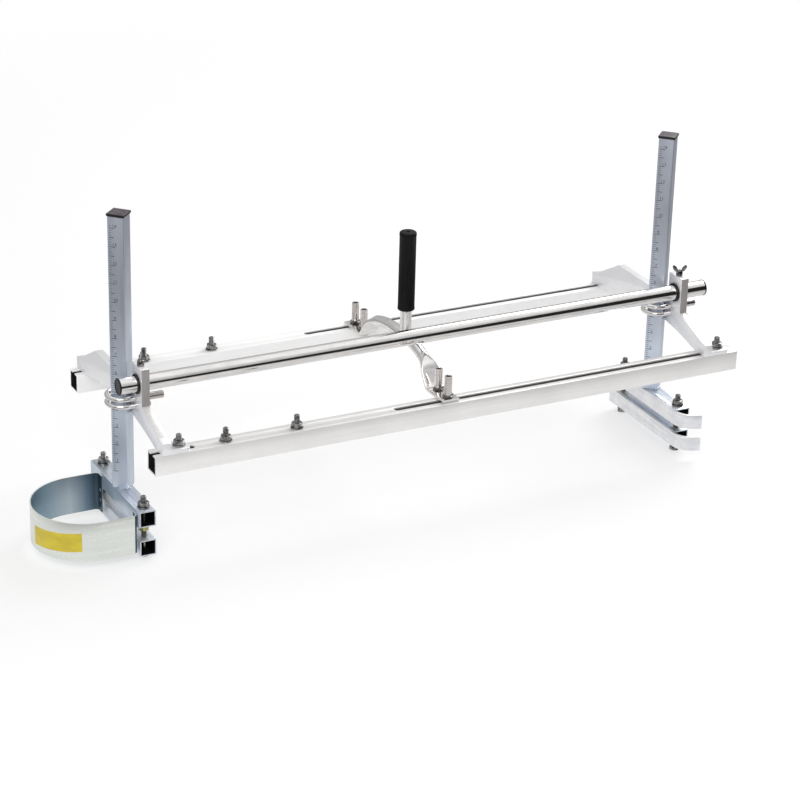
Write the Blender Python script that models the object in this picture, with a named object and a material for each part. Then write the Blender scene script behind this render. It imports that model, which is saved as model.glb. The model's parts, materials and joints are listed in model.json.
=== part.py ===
"""Chainsaw log cutting frame.

Two slotted square rails lie side by side along X and carry two end brackets. Each bracket holds a
square post in a V groove with two U-bolts. A clamp at the foot of each post grips the saw's bar.
A cross tube passes through both brackets, and a push handle stands on an arch between the rails.

Places are written in the rails' own frame: X = 0 at the rails' left end, Y = 0 at the front face of
the front rail, Z = 0 at the rails' underside. One empty then moves everything, so that the origin
is the middle of the footprint at floor level.
"""
import math

import bmesh
import bpy
from mathutils import Matrix, Vector

# Gaps between pieces that touch or slide.
GAP = 0.0003
SLIDE = 0.0004
BOLT_PLAY = 0.0004

# Rails
RAIL_SIZE = 0.027
RAIL_WALL = 0.002
RAIL_LENGTH = 0.890
RAIL_PITCH = 0.289
SLOT_START = 0.350
SLOT_END = 0.880
END_SLOT_LENGTH = 0.060
SPARE_BOLT_X = (0.104, 0.206)

# Fasteners: 8 mm bolts, washers and hexagon nuts
BOLT_RADIUS = 0.004
NUT_ACROSS_CORNERS = 0.0150
NUT_HEIGHT = 0.0065
WASHER_RADIUS = 0.0085
WASHER_THICKNESS = 0.0014
T_HEAD_RADIUS = 0.0085
T_HEAD_HEIGHT = 0.0045
STUD_ABOVE_NUT = 0.0080
SPARE_STUD_ABOVE_NUT = 0.0108
BOLT_SIDES = 12

# Posts
POST_SIDE = 0.0225
POST_WALL = 0.0015
POST_LENGTH = 0.3830
POST_BELOW_RAIL = 0.0630
POST_Y = 0.117
POST_X = {"left": 0.0, "right": 0.825}
CAP_OVERHANG = 0.0012
CAP_LIP = 0.0040
CAP_PLUG_DEPTH = 0.014

# Brackets
PLATE_OFFSET = 0.0103
PLATE_THICKNESS = 0.0113
PLATE_END_HEIGHT = 0.0167
PLATE_SHOULDER_HEIGHT = 0.0197
FRONT_HUB_HEIGHT = 0.0397
HUB_HEIGHT = 0.0527
HUB_BACK_Y = 0.244
UNDER_ARCH_RISE = 0.019
BLOCK_HEIGHT = 0.0917
BLOCK_WALL = 0.0053
FOOT_REACH = 0.0392
FOOT_THICKNESS = 0.0055
FOOT_CORNER_RADIUS = 0.0050
FOOT_BOLT_REACH = 0.038

# Cross tube
TUBE_RADIUS = 0.0110
TUBE_WALL = 0.0012
TUBE_LENGTH = 0.896
TUBE_LEFT_END = -0.015
TUBE_Y = 0.0885
TUBE_Z = 0.094
PLUG_FLANGE = 0.0016
PLUG_LIP = 0.0005
PLUG_DEPTH = 0.012
BUSH_FLANGE = 0.0025
BUSH_WALL = 0.0011
BUSH_SPIGOT = 0.0022
BUSH_FLANGE_WIDTH = 0.0021
ROUND_SIDES = 32

# U-bolts
U_ROD_RADIUS = 0.0035
U_BOLT_Z = {"lower": 0.0590, "upper": 0.0694}
U_NUT_ACROSS_FLATS = 0.0100
U_NUT_HEIGHT = 0.0050
U_THREAD_PAST_NUT = 0.0050
U_SLEEVE_RADIUS = 0.0051
U_SLEEVE_LENGTH = 0.0280

# Wing screws
WING_THREAD_RADIUS = 0.0030
WING_HUB_RADIUS = 0.0048
WING_HUB_HEIGHT = 0.0075
WING_SPAN = 0.0115
WING_RISE = 0.0170
WING_THICKNESS = 0.0024
WING_ANGLE = {"left": 65.0, "right": -20.0}

# Foot clamps
CLAMP_SIDE = 0.0225
CLAMP_WALL = 0.0015
CLAMP_NEAR_END = 0.030
CLAMP_LENGTH = 0.177
JAW_GAP = 0.0195
JAW_LIFT = {"left": 0.0, "right": 0.0075}
CLAMP_BOLT_INSET = 0.015
BOLT_HEAD_HEIGHT = 0.0053
LOCK_NUT_HEIGHT = {"left": 0.0100, "right": 0.0060}

# Nose guard and skid strips
SHEET = 0.0015
GUARD_HEIGHT = 0.055
GUARD_RADIUS = 0.073
GUARD_Y = 0.104
GUARD_STRAIGHT = 0.046
GUARD_DROP = 0.004
GUARD_TAB = 0.014
SKID_THICKNESS = 0.0030
SKID_HEIGHT = 0.0215
SKID_BEND_RADIUS = 0.025
SKID_BEND_ANGLE = 72.0
SKID_TIP = 0.010

# Handle
HANDLE_X = 0.431
HANDLE_Y = 0.144
HANDLE_TUBE_RADIUS = 0.0080
HANDLE_TUBE_WALL = 0.0012
HANDLE_TUBE_START = 0.0035
ARCH_TOP_Z = 0.0705
ARCH_RADIUS = 0.160
ARCH_STRAP_WIDTH = 0.0265
ARCH_STRAP_THICKNESS = 0.0044
ARCH_STRAP_START = 0.004
ARCH_STRAP_END = 0.050
ARCH_BEND_END = 0.074
ARCH_ROUND_START = 0.068
ARCH_ROUND_LENGTH = 0.016
ARCH_LEVEL_HALF = 0.018
GRIP_RADIUS = 0.0120
GRIP_LENGTH = 0.1143
GRIP_TOP_Z = 0.2258
GRIP_END_WALL = 0.003
SLEEVE_RADIUS = 0.0052
SLEEVE_HEIGHT = 0.0305
SLEEVE_HOLE_RADIUS = 0.0034
SLEEVE_HOLE_DEPTH = 0.010
SLEEVE_PITCH = 0.028

# Worked out from the sizes above
HALF_DIAGONAL = POST_SIDE / math.sqrt(2.0)
RAIL_MID = RAIL_SIZE / 2.0
FRAME_DEPTH = RAIL_PITCH + RAIL_SIZE
FOOT_BOTTOM = RAIL_SIZE + GAP
FOOT_TOP = FOOT_BOTTOM + FOOT_THICKNESS
BLOCK_TOP = FOOT_BOTTOM + BLOCK_HEIGHT
BORE_RADIUS = TUBE_RADIUS + SLIDE
BLOCK_HALF = BORE_RADIUS + BLOCK_WALL
SLOT_HALF = BOLT_RADIUS + BOLT_PLAY
BOLT_HOLE = BOLT_RADIUS + BOLT_PLAY
U_PITCH_RADIUS = HALF_DIAGONAL + GAP + U_ROD_RADIUS
POST_BOTTOM = -POST_BELOW_RAIL
POST_TOP = POST_BOTTOM + POST_LENGTH
CLAMP_TOP = POST_BOTTOM - GAP
CLAMP_UNDERSIDE = CLAMP_TOP - CLAMP_SIDE
JAW_TOP = CLAMP_UNDERSIDE - JAW_GAP
JAW_UNDERSIDE = JAW_TOP - CLAMP_SIDE
FLOOR = JAW_UNDERSIDE - GAP - BOLT_HEAD_HEIGHT
CLAMP_BOLT_Y = (CLAMP_NEAR_END + CLAMP_BOLT_INSET, CLAMP_NEAR_END + CLAMP_LENGTH - CLAMP_BOLT_INSET)
SHEET_FACE = -CLAMP_SIDE / 2.0 - GAP
GUARD_X = SHEET_FACE - SHEET - GAP - GUARD_STRAIGHT
GUARD_LEFT = POST_X["left"] + GUARD_X - GUARD_RADIUS
ORIGIN = Vector(((RAIL_LENGTH + GUARD_LEFT) / 2.0, FRAME_DEPTH / 2.0, FLOOR))


def clear_scene():
    for found in list(bpy.data.objects):
        bpy.data.objects.remove(found, do_unlink=True)


def make_material(name, colour, metallic, roughness):
    material = bpy.data.materials.new(name)
    material.use_nodes = True
    shader = material.node_tree.nodes["Principled BSDF"]
    shader.inputs["Base Color"].default_value = (*colour, 1.0)
    shader.inputs["Metallic"].default_value = metallic
    shader.inputs["Roughness"].default_value = roughness
    material.diffuse_color = (*colour, 1.0)
    return material


def add_object(name, bm, material, parent, place=(0.0, 0.0, 0.0), smooth_angle=None):
    """Turn a bmesh into an object that hangs on parent, with its faces pointing out."""
    bmesh.ops.recalc_face_normals(bm, faces=bm.faces)
    mesh = bpy.data.meshes.new(name)
    bm.to_mesh(mesh)
    bm.free()
    if smooth_angle:
        mesh.shade_smooth()
        mesh.set_sharp_from_angle(angle=math.radians(smooth_angle))
    if material:
        mesh.materials.append(material)
    obj = bpy.data.objects.new(name, mesh)
    bpy.context.scene.collection.objects.link(obj)
    obj.parent = parent
    obj.location = place
    return obj


def add_empty(name, parent, place):
    empty = bpy.data.objects.new(name, None)
    bpy.context.scene.collection.objects.link(empty)
    empty.parent = parent
    empty.location = place
    return empty


def loft(rings, closed=False):
    """Skin a list of rings of equally many points; open lofts get end faces."""
    bm = bmesh.new()
    loops = [[bm.verts.new(point) for point in ring] for ring in rings]
    pairs = list(zip(loops, loops[1:]))
    if closed:
        pairs.append((loops[-1], loops[0]))
    for first, second in pairs:
        count = len(first)
        for i in range(count):
            j = (i + 1) % count
            bm.faces.new((first[i], first[j], second[j], second[i]))
    if not closed:
        bm.faces.new(loops[0])
        bm.faces.new(loops[-1])
    return bm


def circle(radius, height, sides=ROUND_SIDES):
    """Points of a level circle at the given height."""
    steps = [2.0 * math.pi * (i + 0.5) / sides for i in range(sides)]
    return [Vector((radius * math.cos(a), radius * math.sin(a), height)) for a in steps]


def hexagon(corner_radius, height):
    """A hexagon with flats across X, and a point at each corner and each side's middle."""
    flat = corner_radius * math.cos(math.radians(30.0))
    radii = [flat if i % 2 == 0 else corner_radius for i in range(BOLT_SIDES)]
    steps = [2.0 * math.pi * i / BOLT_SIDES for i in range(BOLT_SIDES)]
    return [Vector((r * math.cos(a), r * math.sin(a), height)) for r, a in zip(radii, steps)]


def round_ring(radius, height):
    """A level circle with the same count of points as a hexagon."""
    steps = [2.0 * math.pi * i / BOLT_SIDES for i in range(BOLT_SIDES)]
    return [Vector((radius * math.cos(a), radius * math.sin(a), height)) for a in steps]


def box(low, high):
    bm = bmesh.new()
    bmesh.ops.create_cube(bm, size=1.0)
    size = Vector(high) - Vector(low)
    middle = (Vector(high) + Vector(low)) / 2.0
    bmesh.ops.transform(bm, matrix=Matrix.Translation(middle) @ Matrix.Diagonal((*size, 1.0)), verts=bm.verts)
    return bm


def prism(outline, low, high, axis="Z"):
    """Extrude a closed outline along an axis. An X prism's outline is (Y, Z) and a Z prism's is (X, Y)."""
    if axis == "X":
        rings = [[Vector((end, a, b)) for a, b in outline] for end in (low, high)]
    else:
        rings = [[Vector((a, b, end)) for a, b in outline] for end in (low, high)]
    return loft(rings)


def square_ring(half, height):
    return [Vector((x * half, y * half, height)) for x, y in ((1, 1), (-1, 1), (-1, -1), (1, -1))]


def square_tube(side, wall, length):
    """An open square tube that stands on Z = 0."""
    outer = side / 2.0
    inner = outer - wall
    rings = [square_ring(outer, 0.0), square_ring(outer, length), square_ring(inner, length), square_ring(inner, 0.0)]
    return loft(rings, closed=True)


def turned(profile, sides=ROUND_SIDES, closed=False):
    """Turn (radius, height) points about Z. A closed profile gives a ring."""
    return loft([circle(radius, height, sides) for radius, height in profile], closed)


def turn_mesh(bm, angle, axis):
    bmesh.ops.rotate(bm, cent=(0.0, 0.0, 0.0), matrix=Matrix.Rotation(math.radians(angle), 3, axis), verts=bm.verts)
    return bm


def stadium(half_length, half_width, steps=8):
    """A slot outline with round ends, along X, about the origin."""
    straight = half_length - half_width
    outline = []
    for end, start in ((1.0, -90.0), (-1.0, 90.0)):
        for i in range(steps + 1):
            a = math.radians(start + 180.0 * i / steps)
            outline.append((end * straight + half_width * math.cos(a), half_width * math.sin(a)))
    return outline


def cut(obj, bm, parent, place=(0.0, 0.0, 0.0)):
    """Cut a hidden guide solid out of an object."""
    cutter = add_object(obj.name + "_cutter", bm, None, parent, place)
    cutter.hide_render = True
    cutter.display_type = "WIRE"
    modifier = obj.modifiers.new("Cut", "BOOLEAN")
    modifier.operation = "DIFFERENCE"
    modifier.solver = "EXACT"
    modifier.object = cutter


def upright_hole(radius, low, high):
    return turned([(radius, low), (radius, high)], sides=16)


def make_rail(name, front_y, parent, alloy):
    """A square tube along X with a long slot, an open slot at the left end and two bolt holes."""
    bm = turn_mesh(square_tube(RAIL_SIZE, RAIL_WALL, RAIL_LENGTH), 90.0, "Y")
    rail = add_object(name, bm, alloy, parent, (0.0, front_y + RAIL_MID, RAIL_MID))
    low, high = RAIL_SIZE - 1.5 * RAIL_WALL, RAIL_SIZE + RAIL_WALL
    middle = (SLOT_START + SLOT_END) / 2.0
    long_slot = prism(stadium((SLOT_END - SLOT_START) / 2.0, SLOT_HALF), low, high)
    cut(rail, long_slot, parent, (middle, front_y + RAIL_MID, 0.0))
    end_slot = prism(stadium(END_SLOT_LENGTH, SLOT_HALF), low, high)
    cut(rail, end_slot, parent, (0.0, front_y + RAIL_MID, 0.0))
    for x in SPARE_BOLT_X:
        cut(rail, upright_hole(BOLT_HOLE, low, high), parent, (x, front_y + RAIL_MID, 0.0))
    return rail


def slot_bolt_rings(seat, stud):
    """A bolt whose head sits inside the rail, with its washer and nut on a seat above the slot."""
    roof = RAIL_SIZE - RAIL_WALL - GAP
    washer = seat + GAP
    nut = washer + WASHER_THICKNESS
    top = nut + NUT_HEIGHT
    corner = NUT_ACROSS_CORNERS / 2.0
    return [
        hexagon(T_HEAD_RADIUS, roof - T_HEAD_HEIGHT), hexagon(T_HEAD_RADIUS, roof),
        round_ring(BOLT_RADIUS, roof), round_ring(BOLT_RADIUS, washer),
        round_ring(WASHER_RADIUS, washer), round_ring(WASHER_RADIUS, nut),
        hexagon(corner, nut), hexagon(corner, top),
        round_ring(BOLT_RADIUS, top), round_ring(BOLT_RADIUS, top + stud),
    ]


def make_slot_bolt(name, x, y, seat, parent, steel, stud=STUD_ABOVE_NUT):
    return add_object(name, loft(slot_bolt_rings(seat, stud)), steel, parent, (x, y, 0.0), 40.0)


def under_arch(steps=14):
    """The plate's lower edge between the rails, from back to front."""
    half = RAIL_PITCH / 2.0 - RAIL_MID
    points = []
    for i in range(steps + 1):
        t = 1.0 - 2.0 * i / steps
        points.append((FRAME_DEPTH / 2.0 + half * t, FOOT_BOTTOM + UNDER_ARCH_RISE * (1.0 - t * t)))
    return points


def bracket_outline():
    """The plate's (Y, Z) outline: two arms, a hub at the post and a block round the cross tube."""
    end_z = FOOT_BOTTOM + PLATE_END_HEIGHT
    shoulder_z = FOOT_BOTTOM + PLATE_SHOULDER_HEIGHT
    hub_z = FOOT_BOTTOM + HUB_HEIGHT
    block_front, block_back = TUBE_Y - BLOCK_HALF, TUBE_Y + BLOCK_HALF
    outline = [
        (0.0, FOOT_BOTTOM), (0.0, end_z), (RAIL_MID, shoulder_z),
        (block_front, FOOT_BOTTOM + FRONT_HUB_HEIGHT), (block_front, BLOCK_TOP), (block_back, BLOCK_TOP),
        (block_back, hub_z), (HUB_BACK_Y, hub_z), (FRAME_DEPTH - RAIL_MID, shoulder_z),
        (FRAME_DEPTH, end_z), (FRAME_DEPTH, FOOT_BOTTOM),
    ]
    return outline + under_arch()


def foot_outline(face):
    """A foot's (X, Y) outline about its rail's middle, with both outer corners rounded."""
    half = RAIL_MID
    start, reach = face + PLATE_THICKNESS / 2.0, face + FOOT_REACH
    outline = [(start, -half)]
    for way, first in ((-1.0, -90.0), (1.0, 0.0)):
        centre_x, centre_y = reach - FOOT_CORNER_RADIUS, way * (half - FOOT_CORNER_RADIUS)
        for i in range(4):
            a = math.radians(first + 30.0 * i)
            outline.append((centre_x + FOOT_CORNER_RADIUS * math.cos(a), centre_y + FOOT_CORNER_RADIUS * math.sin(a)))
    outline.append((start, half))
    return outline


def make_bracket(side, parent, alloy):
    """A thick plate across both rails, with a V groove for the post and a flanged foot on each rail."""
    face = PLATE_OFFSET
    bm = prism(bracket_outline(), face, face + PLATE_THICKNESS, "X")
    bracket = add_object(side + "_bracket", bm, alloy, parent)
    for foot_y in (RAIL_MID, RAIL_PITCH + RAIL_MID):
        foot_solid = prism(foot_outline(face), FOOT_BOTTOM, FOOT_TOP)
        foot = add_object(side + "_foot_shape", foot_solid, None, parent, (0.0, foot_y, 0.0))
        foot.hide_render = True
        foot.display_type = "WIRE"
        union = bracket.modifiers.new("Foot", "BOOLEAN")
        union.operation = "UNION"
        union.solver = "EXACT"
        union.object = foot
        hole = upright_hole(BOLT_HOLE, FOOT_BOTTOM - FOOT_THICKNESS, FOOT_TOP + FOOT_THICKNESS)
        cut(bracket, hole, parent, (FOOT_BOLT_REACH, foot_y, 0.0))
    groove = turn_mesh(square_tube_core(POST_SIDE + 2.0 * SLIDE, BLOCK_TOP), 45.0, "Z")
    cut(bracket, groove, parent, (0.0, POST_Y, 0.0))
    bore = turn_mesh(turned([(BORE_RADIUS, 0.0), (BORE_RADIUS, 3.0 * PLATE_THICKNESS)]), 90.0, "Y")
    cut(bracket, bore, parent, (face - PLATE_THICKNESS, TUBE_Y, TUBE_Z))
    recess_radius = BORE_RADIUS + BUSH_WALL + GAP
    recess = turn_mesh(turned([(recess_radius, 0.0), (recess_radius, PLATE_THICKNESS)]), 90.0, "Y")
    cut(bracket, recess, parent, (face + BUSH_SPIGOT + GAP - PLATE_THICKNESS, TUBE_Y, TUBE_Z))
    screw_hole = upright_hole(WING_THREAD_RADIUS + GAP, TUBE_Z, BLOCK_TOP + BLOCK_WALL)
    cut(bracket, screw_hole, parent, (face + PLATE_THICKNESS / 2.0, TUBE_Y, 0.0))
    for height in U_BOLT_Z.values():
        for way in (-1.0, 1.0):
            leg = turned([(U_ROD_RADIUS + GAP, 0.0), (U_ROD_RADIUS + GAP, 3.0 * PLATE_THICKNESS)], 16)
            place = (face - PLATE_THICKNESS, POST_Y + way * U_PITCH_RADIUS, height)
            cut(bracket, turn_mesh(leg, 90.0, "Y"), parent, place)
    return bracket


def square_tube_core(side, height):
    """A solid square bar that stands on Z = 0."""
    return loft([square_ring(side / 2.0, 0.0), square_ring(side / 2.0, height)])


def make_bush(side, parent, plastic):
    """A flanged ring that centres the cross tube in the bracket's bore."""
    inner = BORE_RADIUS
    spigot = inner + BUSH_WALL
    flange = inner + BUSH_FLANGE_WIDTH
    profile = [
        (inner, BUSH_SPIGOT), (inner, -GAP - BUSH_FLANGE), (flange, -GAP - BUSH_FLANGE),
        (flange, -GAP), (spigot, -GAP), (spigot, BUSH_SPIGOT),
    ]
    bm = turn_mesh(turned(profile, closed=True), 90.0, "Y")
    return add_object(side + "_tube_bush", bm, plastic, parent, (PLATE_OFFSET, TUBE_Y, TUBE_Z), 40.0)


def u_bolt_path():
    """Centre points of the bent rod and the direction of the rod at each, in the XY plane."""
    far = PLATE_OFFSET + PLATE_THICKNESS + GAP + U_NUT_HEIGHT + U_THREAD_PAST_NUT
    path = [(Vector((far, U_PITCH_RADIUS, 0.0)), 0.0)]
    steps = 12
    for i in range(steps + 1):
        a = math.radians(90.0 + 180.0 * i / steps)
        path.append((Vector((U_PITCH_RADIUS * math.cos(a), U_PITCH_RADIUS * math.sin(a), 0.0)), a - math.pi / 2))
    path.append((Vector((far, -U_PITCH_RADIUS, 0.0)), math.pi))
    return path


def make_u_bolt(name, height, parent, steel, sides=12):
    """A round rod bent round the post, with both legs through the plate."""
    rings = []
    for centre, turn in u_bolt_path():
        across = Vector((-math.sin(turn), math.cos(turn), 0.0))
        ring = []
        for i in range(sides):
            a = 2.0 * math.pi * i / sides
            ring.append(centre + across * U_ROD_RADIUS * math.cos(a) + Vector((0, 0, U_ROD_RADIUS * math.sin(a))))
        rings.append(ring)
    return add_object(name, loft(rings), steel, parent, (0.0, POST_Y, height), 50.0)


def make_u_nut(name, y, level, parent, steel):
    """A hexagon nut on the lower U-bolt's leg, or a long round nut on the upper one's."""
    bore = U_ROD_RADIUS + GAP
    corner = U_NUT_ACROSS_FLATS / 2.0 / math.cos(math.radians(30.0))
    height = U_BOLT_Z[level]
    if level == "upper":
        outside, length = round_ring, U_SLEEVE_LENGTH
        corner = U_SLEEVE_RADIUS
    else:
        outside, length = hexagon, U_NUT_HEIGHT
    rings = [round_ring(bore, 0.0), round_ring(bore, length), outside(corner, length), outside(corner, 0.0)]
    bm = turn_mesh(loft(rings, closed=True), 90.0, "Y")
    place = (PLATE_OFFSET + PLATE_THICKNESS + GAP, y, height)
    return add_object(name, bm, steel, parent, place, 40.0)


def make_wing_screw(side, parent, steel):
    """A thumb screw that presses on the cross tube from above; its origin is on its own axis."""
    seat = BLOCK_TOP + GAP
    tip = TUBE_Z + TUBE_RADIUS + GAP - seat
    sides = 16
    rings = [
        circle(WING_THREAD_RADIUS, tip, sides), circle(WING_THREAD_RADIUS, 0.0, sides),
        circle(WING_HUB_RADIUS, 0.0, sides), circle(WING_HUB_RADIUS * 0.85, WING_HUB_HEIGHT, sides),
    ]
    place = (PLATE_OFFSET + PLATE_THICKNESS / 2.0, TUBE_Y, seat)
    screw = add_object(side + "_wing_screw", loft(rings), steel, parent, place, 40.0)
    for way in (-1.0, 1.0):
        low, high = WING_HUB_HEIGHT * 0.2, WING_RISE
        inner, outer = WING_HUB_RADIUS * 0.5, WING_SPAN
        outline = [
            (way * inner, low), (way * outer * 0.75, low + 0.35 * WING_RISE), (way * outer, high * 0.82),
            (way * outer * 0.85, high), (way * outer * 0.66, high * 0.9), (way * inner, WING_HUB_HEIGHT * 0.9),
        ]
        bm = prism(outline, -WING_THICKNESS / 2.0, WING_THICKNESS / 2.0, "X")
        turn_mesh(bm, WING_ANGLE[side] - 90.0, "Z")
        wing = add_object(side + "_wing_shape", bm, None, parent, place)
        wing.hide_render = True
        wing.display_type = "WIRE"
        union = screw.modifiers.new("Wing", "BOOLEAN")
        union.operation = "UNION"
        union.solver = "EXACT"
        union.object = wing
    return screw


def make_cross_tube(parent, chrome, plastic):
    inner = TUBE_RADIUS - TUBE_WALL
    profile = [(inner, 0.0), (TUBE_RADIUS, 0.0), (TUBE_RADIUS, TUBE_LENGTH), (inner, TUBE_LENGTH)]
    bm = turn_mesh(turned(profile, closed=True), 90.0, "Y")
    add_object("cross_tube", bm, chrome, parent, (TUBE_LEFT_END, TUBE_Y, TUBE_Z), 40.0)
    plug = [
        (inner - GAP, PLUG_DEPTH), (inner - GAP, -GAP), (TUBE_RADIUS + PLUG_LIP, -GAP),
        (TUBE_RADIUS + PLUG_LIP, -GAP - PLUG_FLANGE * 0.6), (TUBE_RADIUS * 0.9, -GAP - PLUG_FLANGE),
    ]
    left = turn_mesh(turned(plug, 24), 90.0, "Y")
    add_object("left_tube_plug", left, plastic, parent, (TUBE_LEFT_END, TUBE_Y, TUBE_Z), 40.0)
    right = turn_mesh(turned(plug, 24), -90.0, "Y")
    add_object("right_tube_plug", right, plastic, parent, (TUBE_LEFT_END + TUBE_LENGTH, TUBE_Y, TUBE_Z), 40.0)


def make_post(side, parent, steel, plastic):
    """A square tube turned corner-on to the bracket, with a push-in cap."""
    bm = turn_mesh(square_tube(POST_SIDE, POST_WALL, POST_LENGTH), 45.0, "Z")
    add_object(side + "_post", bm, steel, parent, (0.0, POST_Y, POST_BOTTOM))
    plug = POST_SIDE / 2.0 - POST_WALL - GAP
    lip = POST_SIDE / 2.0 + CAP_OVERHANG
    rings = [
        square_ring(plug * 0.97, -CAP_PLUG_DEPTH), square_ring(plug, -CAP_PLUG_DEPTH * 0.8), square_ring(plug, GAP),
        square_ring(lip, GAP), square_ring(lip, GAP + CAP_LIP * 0.7), square_ring(lip * 0.92, GAP + CAP_LIP),
    ]
    cap = turn_mesh(loft(rings), 45.0, "Z")
    add_object(side + "_post_cap", cap, plastic, parent, (0.0, POST_Y, POST_TOP))


def make_clamp_tube(name, underside, parent, steel):
    """A short square tube along Y, drilled for the two clamp bolts."""
    bm = turn_mesh(square_tube(CLAMP_SIDE, CLAMP_WALL, CLAMP_LENGTH), -90.0, "X")
    middle = underside + CLAMP_SIDE / 2.0
    tube = add_object(name, bm, steel, parent, (0.0, CLAMP_NEAR_END, middle))
    for y in CLAMP_BOLT_Y:
        hole = upright_hole(BOLT_HOLE, -CLAMP_SIDE, CLAMP_SIDE)
        cut(tube, hole, parent, (0.0, y, middle))
    return tube


def make_clamp_bolt(name, y, lock_nut, parent, steel):
    """A long bolt with its head below the lower jaw and a nut on each side of the upper tube."""
    corner = NUT_ACROSS_CORNERS / 2.0
    under = CLAMP_UNDERSIDE - GAP
    washer = CLAMP_TOP + GAP
    nut = washer + WASHER_THICKNESS
    top = nut + NUT_HEIGHT
    rings = [
        hexagon(corner, FLOOR), hexagon(corner, FLOOR + BOLT_HEAD_HEIGHT),
        round_ring(BOLT_RADIUS, FLOOR + BOLT_HEAD_HEIGHT), round_ring(BOLT_RADIUS, under - lock_nut),
        hexagon(corner, under - lock_nut), hexagon(corner, under),
        round_ring(BOLT_RADIUS, under), round_ring(BOLT_RADIUS, washer),
        round_ring(WASHER_RADIUS, washer), round_ring(WASHER_RADIUS, nut),
        hexagon(corner, nut), hexagon(corner, top),
        round_ring(BOLT_RADIUS, top), round_ring(BOLT_RADIUS, top + STUD_ABOVE_NUT),
    ]
    return add_object(name, loft(rings), steel, parent, (0.0, y, 0.0), 40.0)


def strip_rings(path, thickness, low, high):
    """Rings of a strip that stands on edge: path holds (X, Y, turn), with turn the strip's heading."""
    rings = []
    for x, y, turn in path:
        across = Vector((math.sin(turn), -math.cos(turn), 0.0)) * thickness / 2.0
        centre = Vector((x, y, 0.0))
        top, bottom = Vector((0, 0, high)), Vector((0, 0, low))
        rings.append([centre + across + top, centre - across + top, centre - across + bottom, centre + across + bottom])
    return rings


def make_skid(name, low, high, parent, steel):
    """A strip on the clamp tube's outer side, whose near end sweeps round in front of the tube."""
    x = SHEET_FACE - SKID_THICKNESS / 2.0
    radius = SKID_BEND_RADIUS + SKID_THICKNESS / 2.0
    start = CLAMP_NEAR_END
    heading = -math.pi / 2.0
    path = [(x, CLAMP_NEAR_END + CLAMP_LENGTH, heading), (x, start, heading)]
    steps = 8
    for i in range(1, steps + 1):
        a = math.radians(SKID_BEND_ANGLE * i / steps)
        path.append((x + radius * (1.0 - math.cos(a)), start - radius * math.sin(a), heading + a))
    last_x, last_y, last = path[-1]
    path.append((last_x + SKID_TIP * math.cos(last), last_y + SKID_TIP * math.sin(last), last))
    return add_object(name, loft(strip_rings(path, SKID_THICKNESS, low, high)), steel, parent, (0, 0, 0), 40.0)


def make_guard(parent, steel):
    """A D-shaped sheet band round the bar's nose, open towards the clamp and tabbed at both ends."""
    radius = GUARD_RADIUS - SHEET / 2.0
    tab_x = GUARD_X + GUARD_STRAIGHT - SHEET / 2.0
    near, far = GUARD_Y - radius, GUARD_Y + radius
    path = [
        (tab_x, near + GUARD_TAB, -math.pi / 2.0), (tab_x, near + SHEET, -math.pi / 2.0),
        (tab_x - SHEET * 0.3, near + SHEET * 0.3, -math.pi * 0.75), (tab_x - SHEET, near, -math.pi),
    ]
    steps = 24
    for i in range(steps + 1):
        a = math.radians(-90.0 - 180.0 * i / steps)
        path.append((GUARD_X + radius * math.cos(a), GUARD_Y + radius * math.sin(a), a - math.pi / 2.0))
    path += [
        (tab_x - SHEET, far, 0.0), (tab_x - SHEET * 0.3, far - SHEET * 0.3, -math.pi * 0.25),
        (tab_x, far - SHEET, -math.pi / 2.0), (tab_x, far - GUARD_TAB, -math.pi / 2.0),
    ]
    top = CLAMP_TOP - GUARD_DROP
    rings = strip_rings(path, SHEET, top - GUARD_HEIGHT, top)
    return add_object("nose_guard", loft(rings), steel, parent, (0, 0, 0), 40.0)


def make_guard_plate(parent, steel):
    """The flat strip between the upper clamp tube and the guard's tabs."""
    low = (SHEET_FACE - SHEET, CLAMP_NEAR_END, CLAMP_UNDERSIDE)
    high = (SHEET_FACE, CLAMP_NEAR_END + CLAMP_LENGTH, CLAMP_TOP)
    return add_object("guard_back_plate", box(low, high), steel, parent)


def arch_height(y):
    """Height and slope of the arch's arc, which is level over a short middle length."""
    away = max(0.0, abs(FRAME_DEPTH / 2.0 - y) - ARCH_LEVEL_HALF)
    side = math.sqrt(ARCH_RADIUS ** 2 - away ** 2)
    return ARCH_TOP_Z - ARCH_RADIUS + side, away / side


def arch_section(y):
    """Half width and half thickness of the arch's tube, which is pressed flat towards the rails."""
    roundness = min(1.0, max(0.0, (y - ARCH_ROUND_START) / ARCH_ROUND_LENGTH))
    half_width, half_thick = ARCH_STRAP_WIDTH / 2.0, ARCH_STRAP_THICKNESS / 2.0
    width = half_width + (HANDLE_TUBE_RADIUS - half_width) * roundness
    return width, half_thick + (HANDLE_TUBE_RADIUS - half_thick) * roundness


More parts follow.
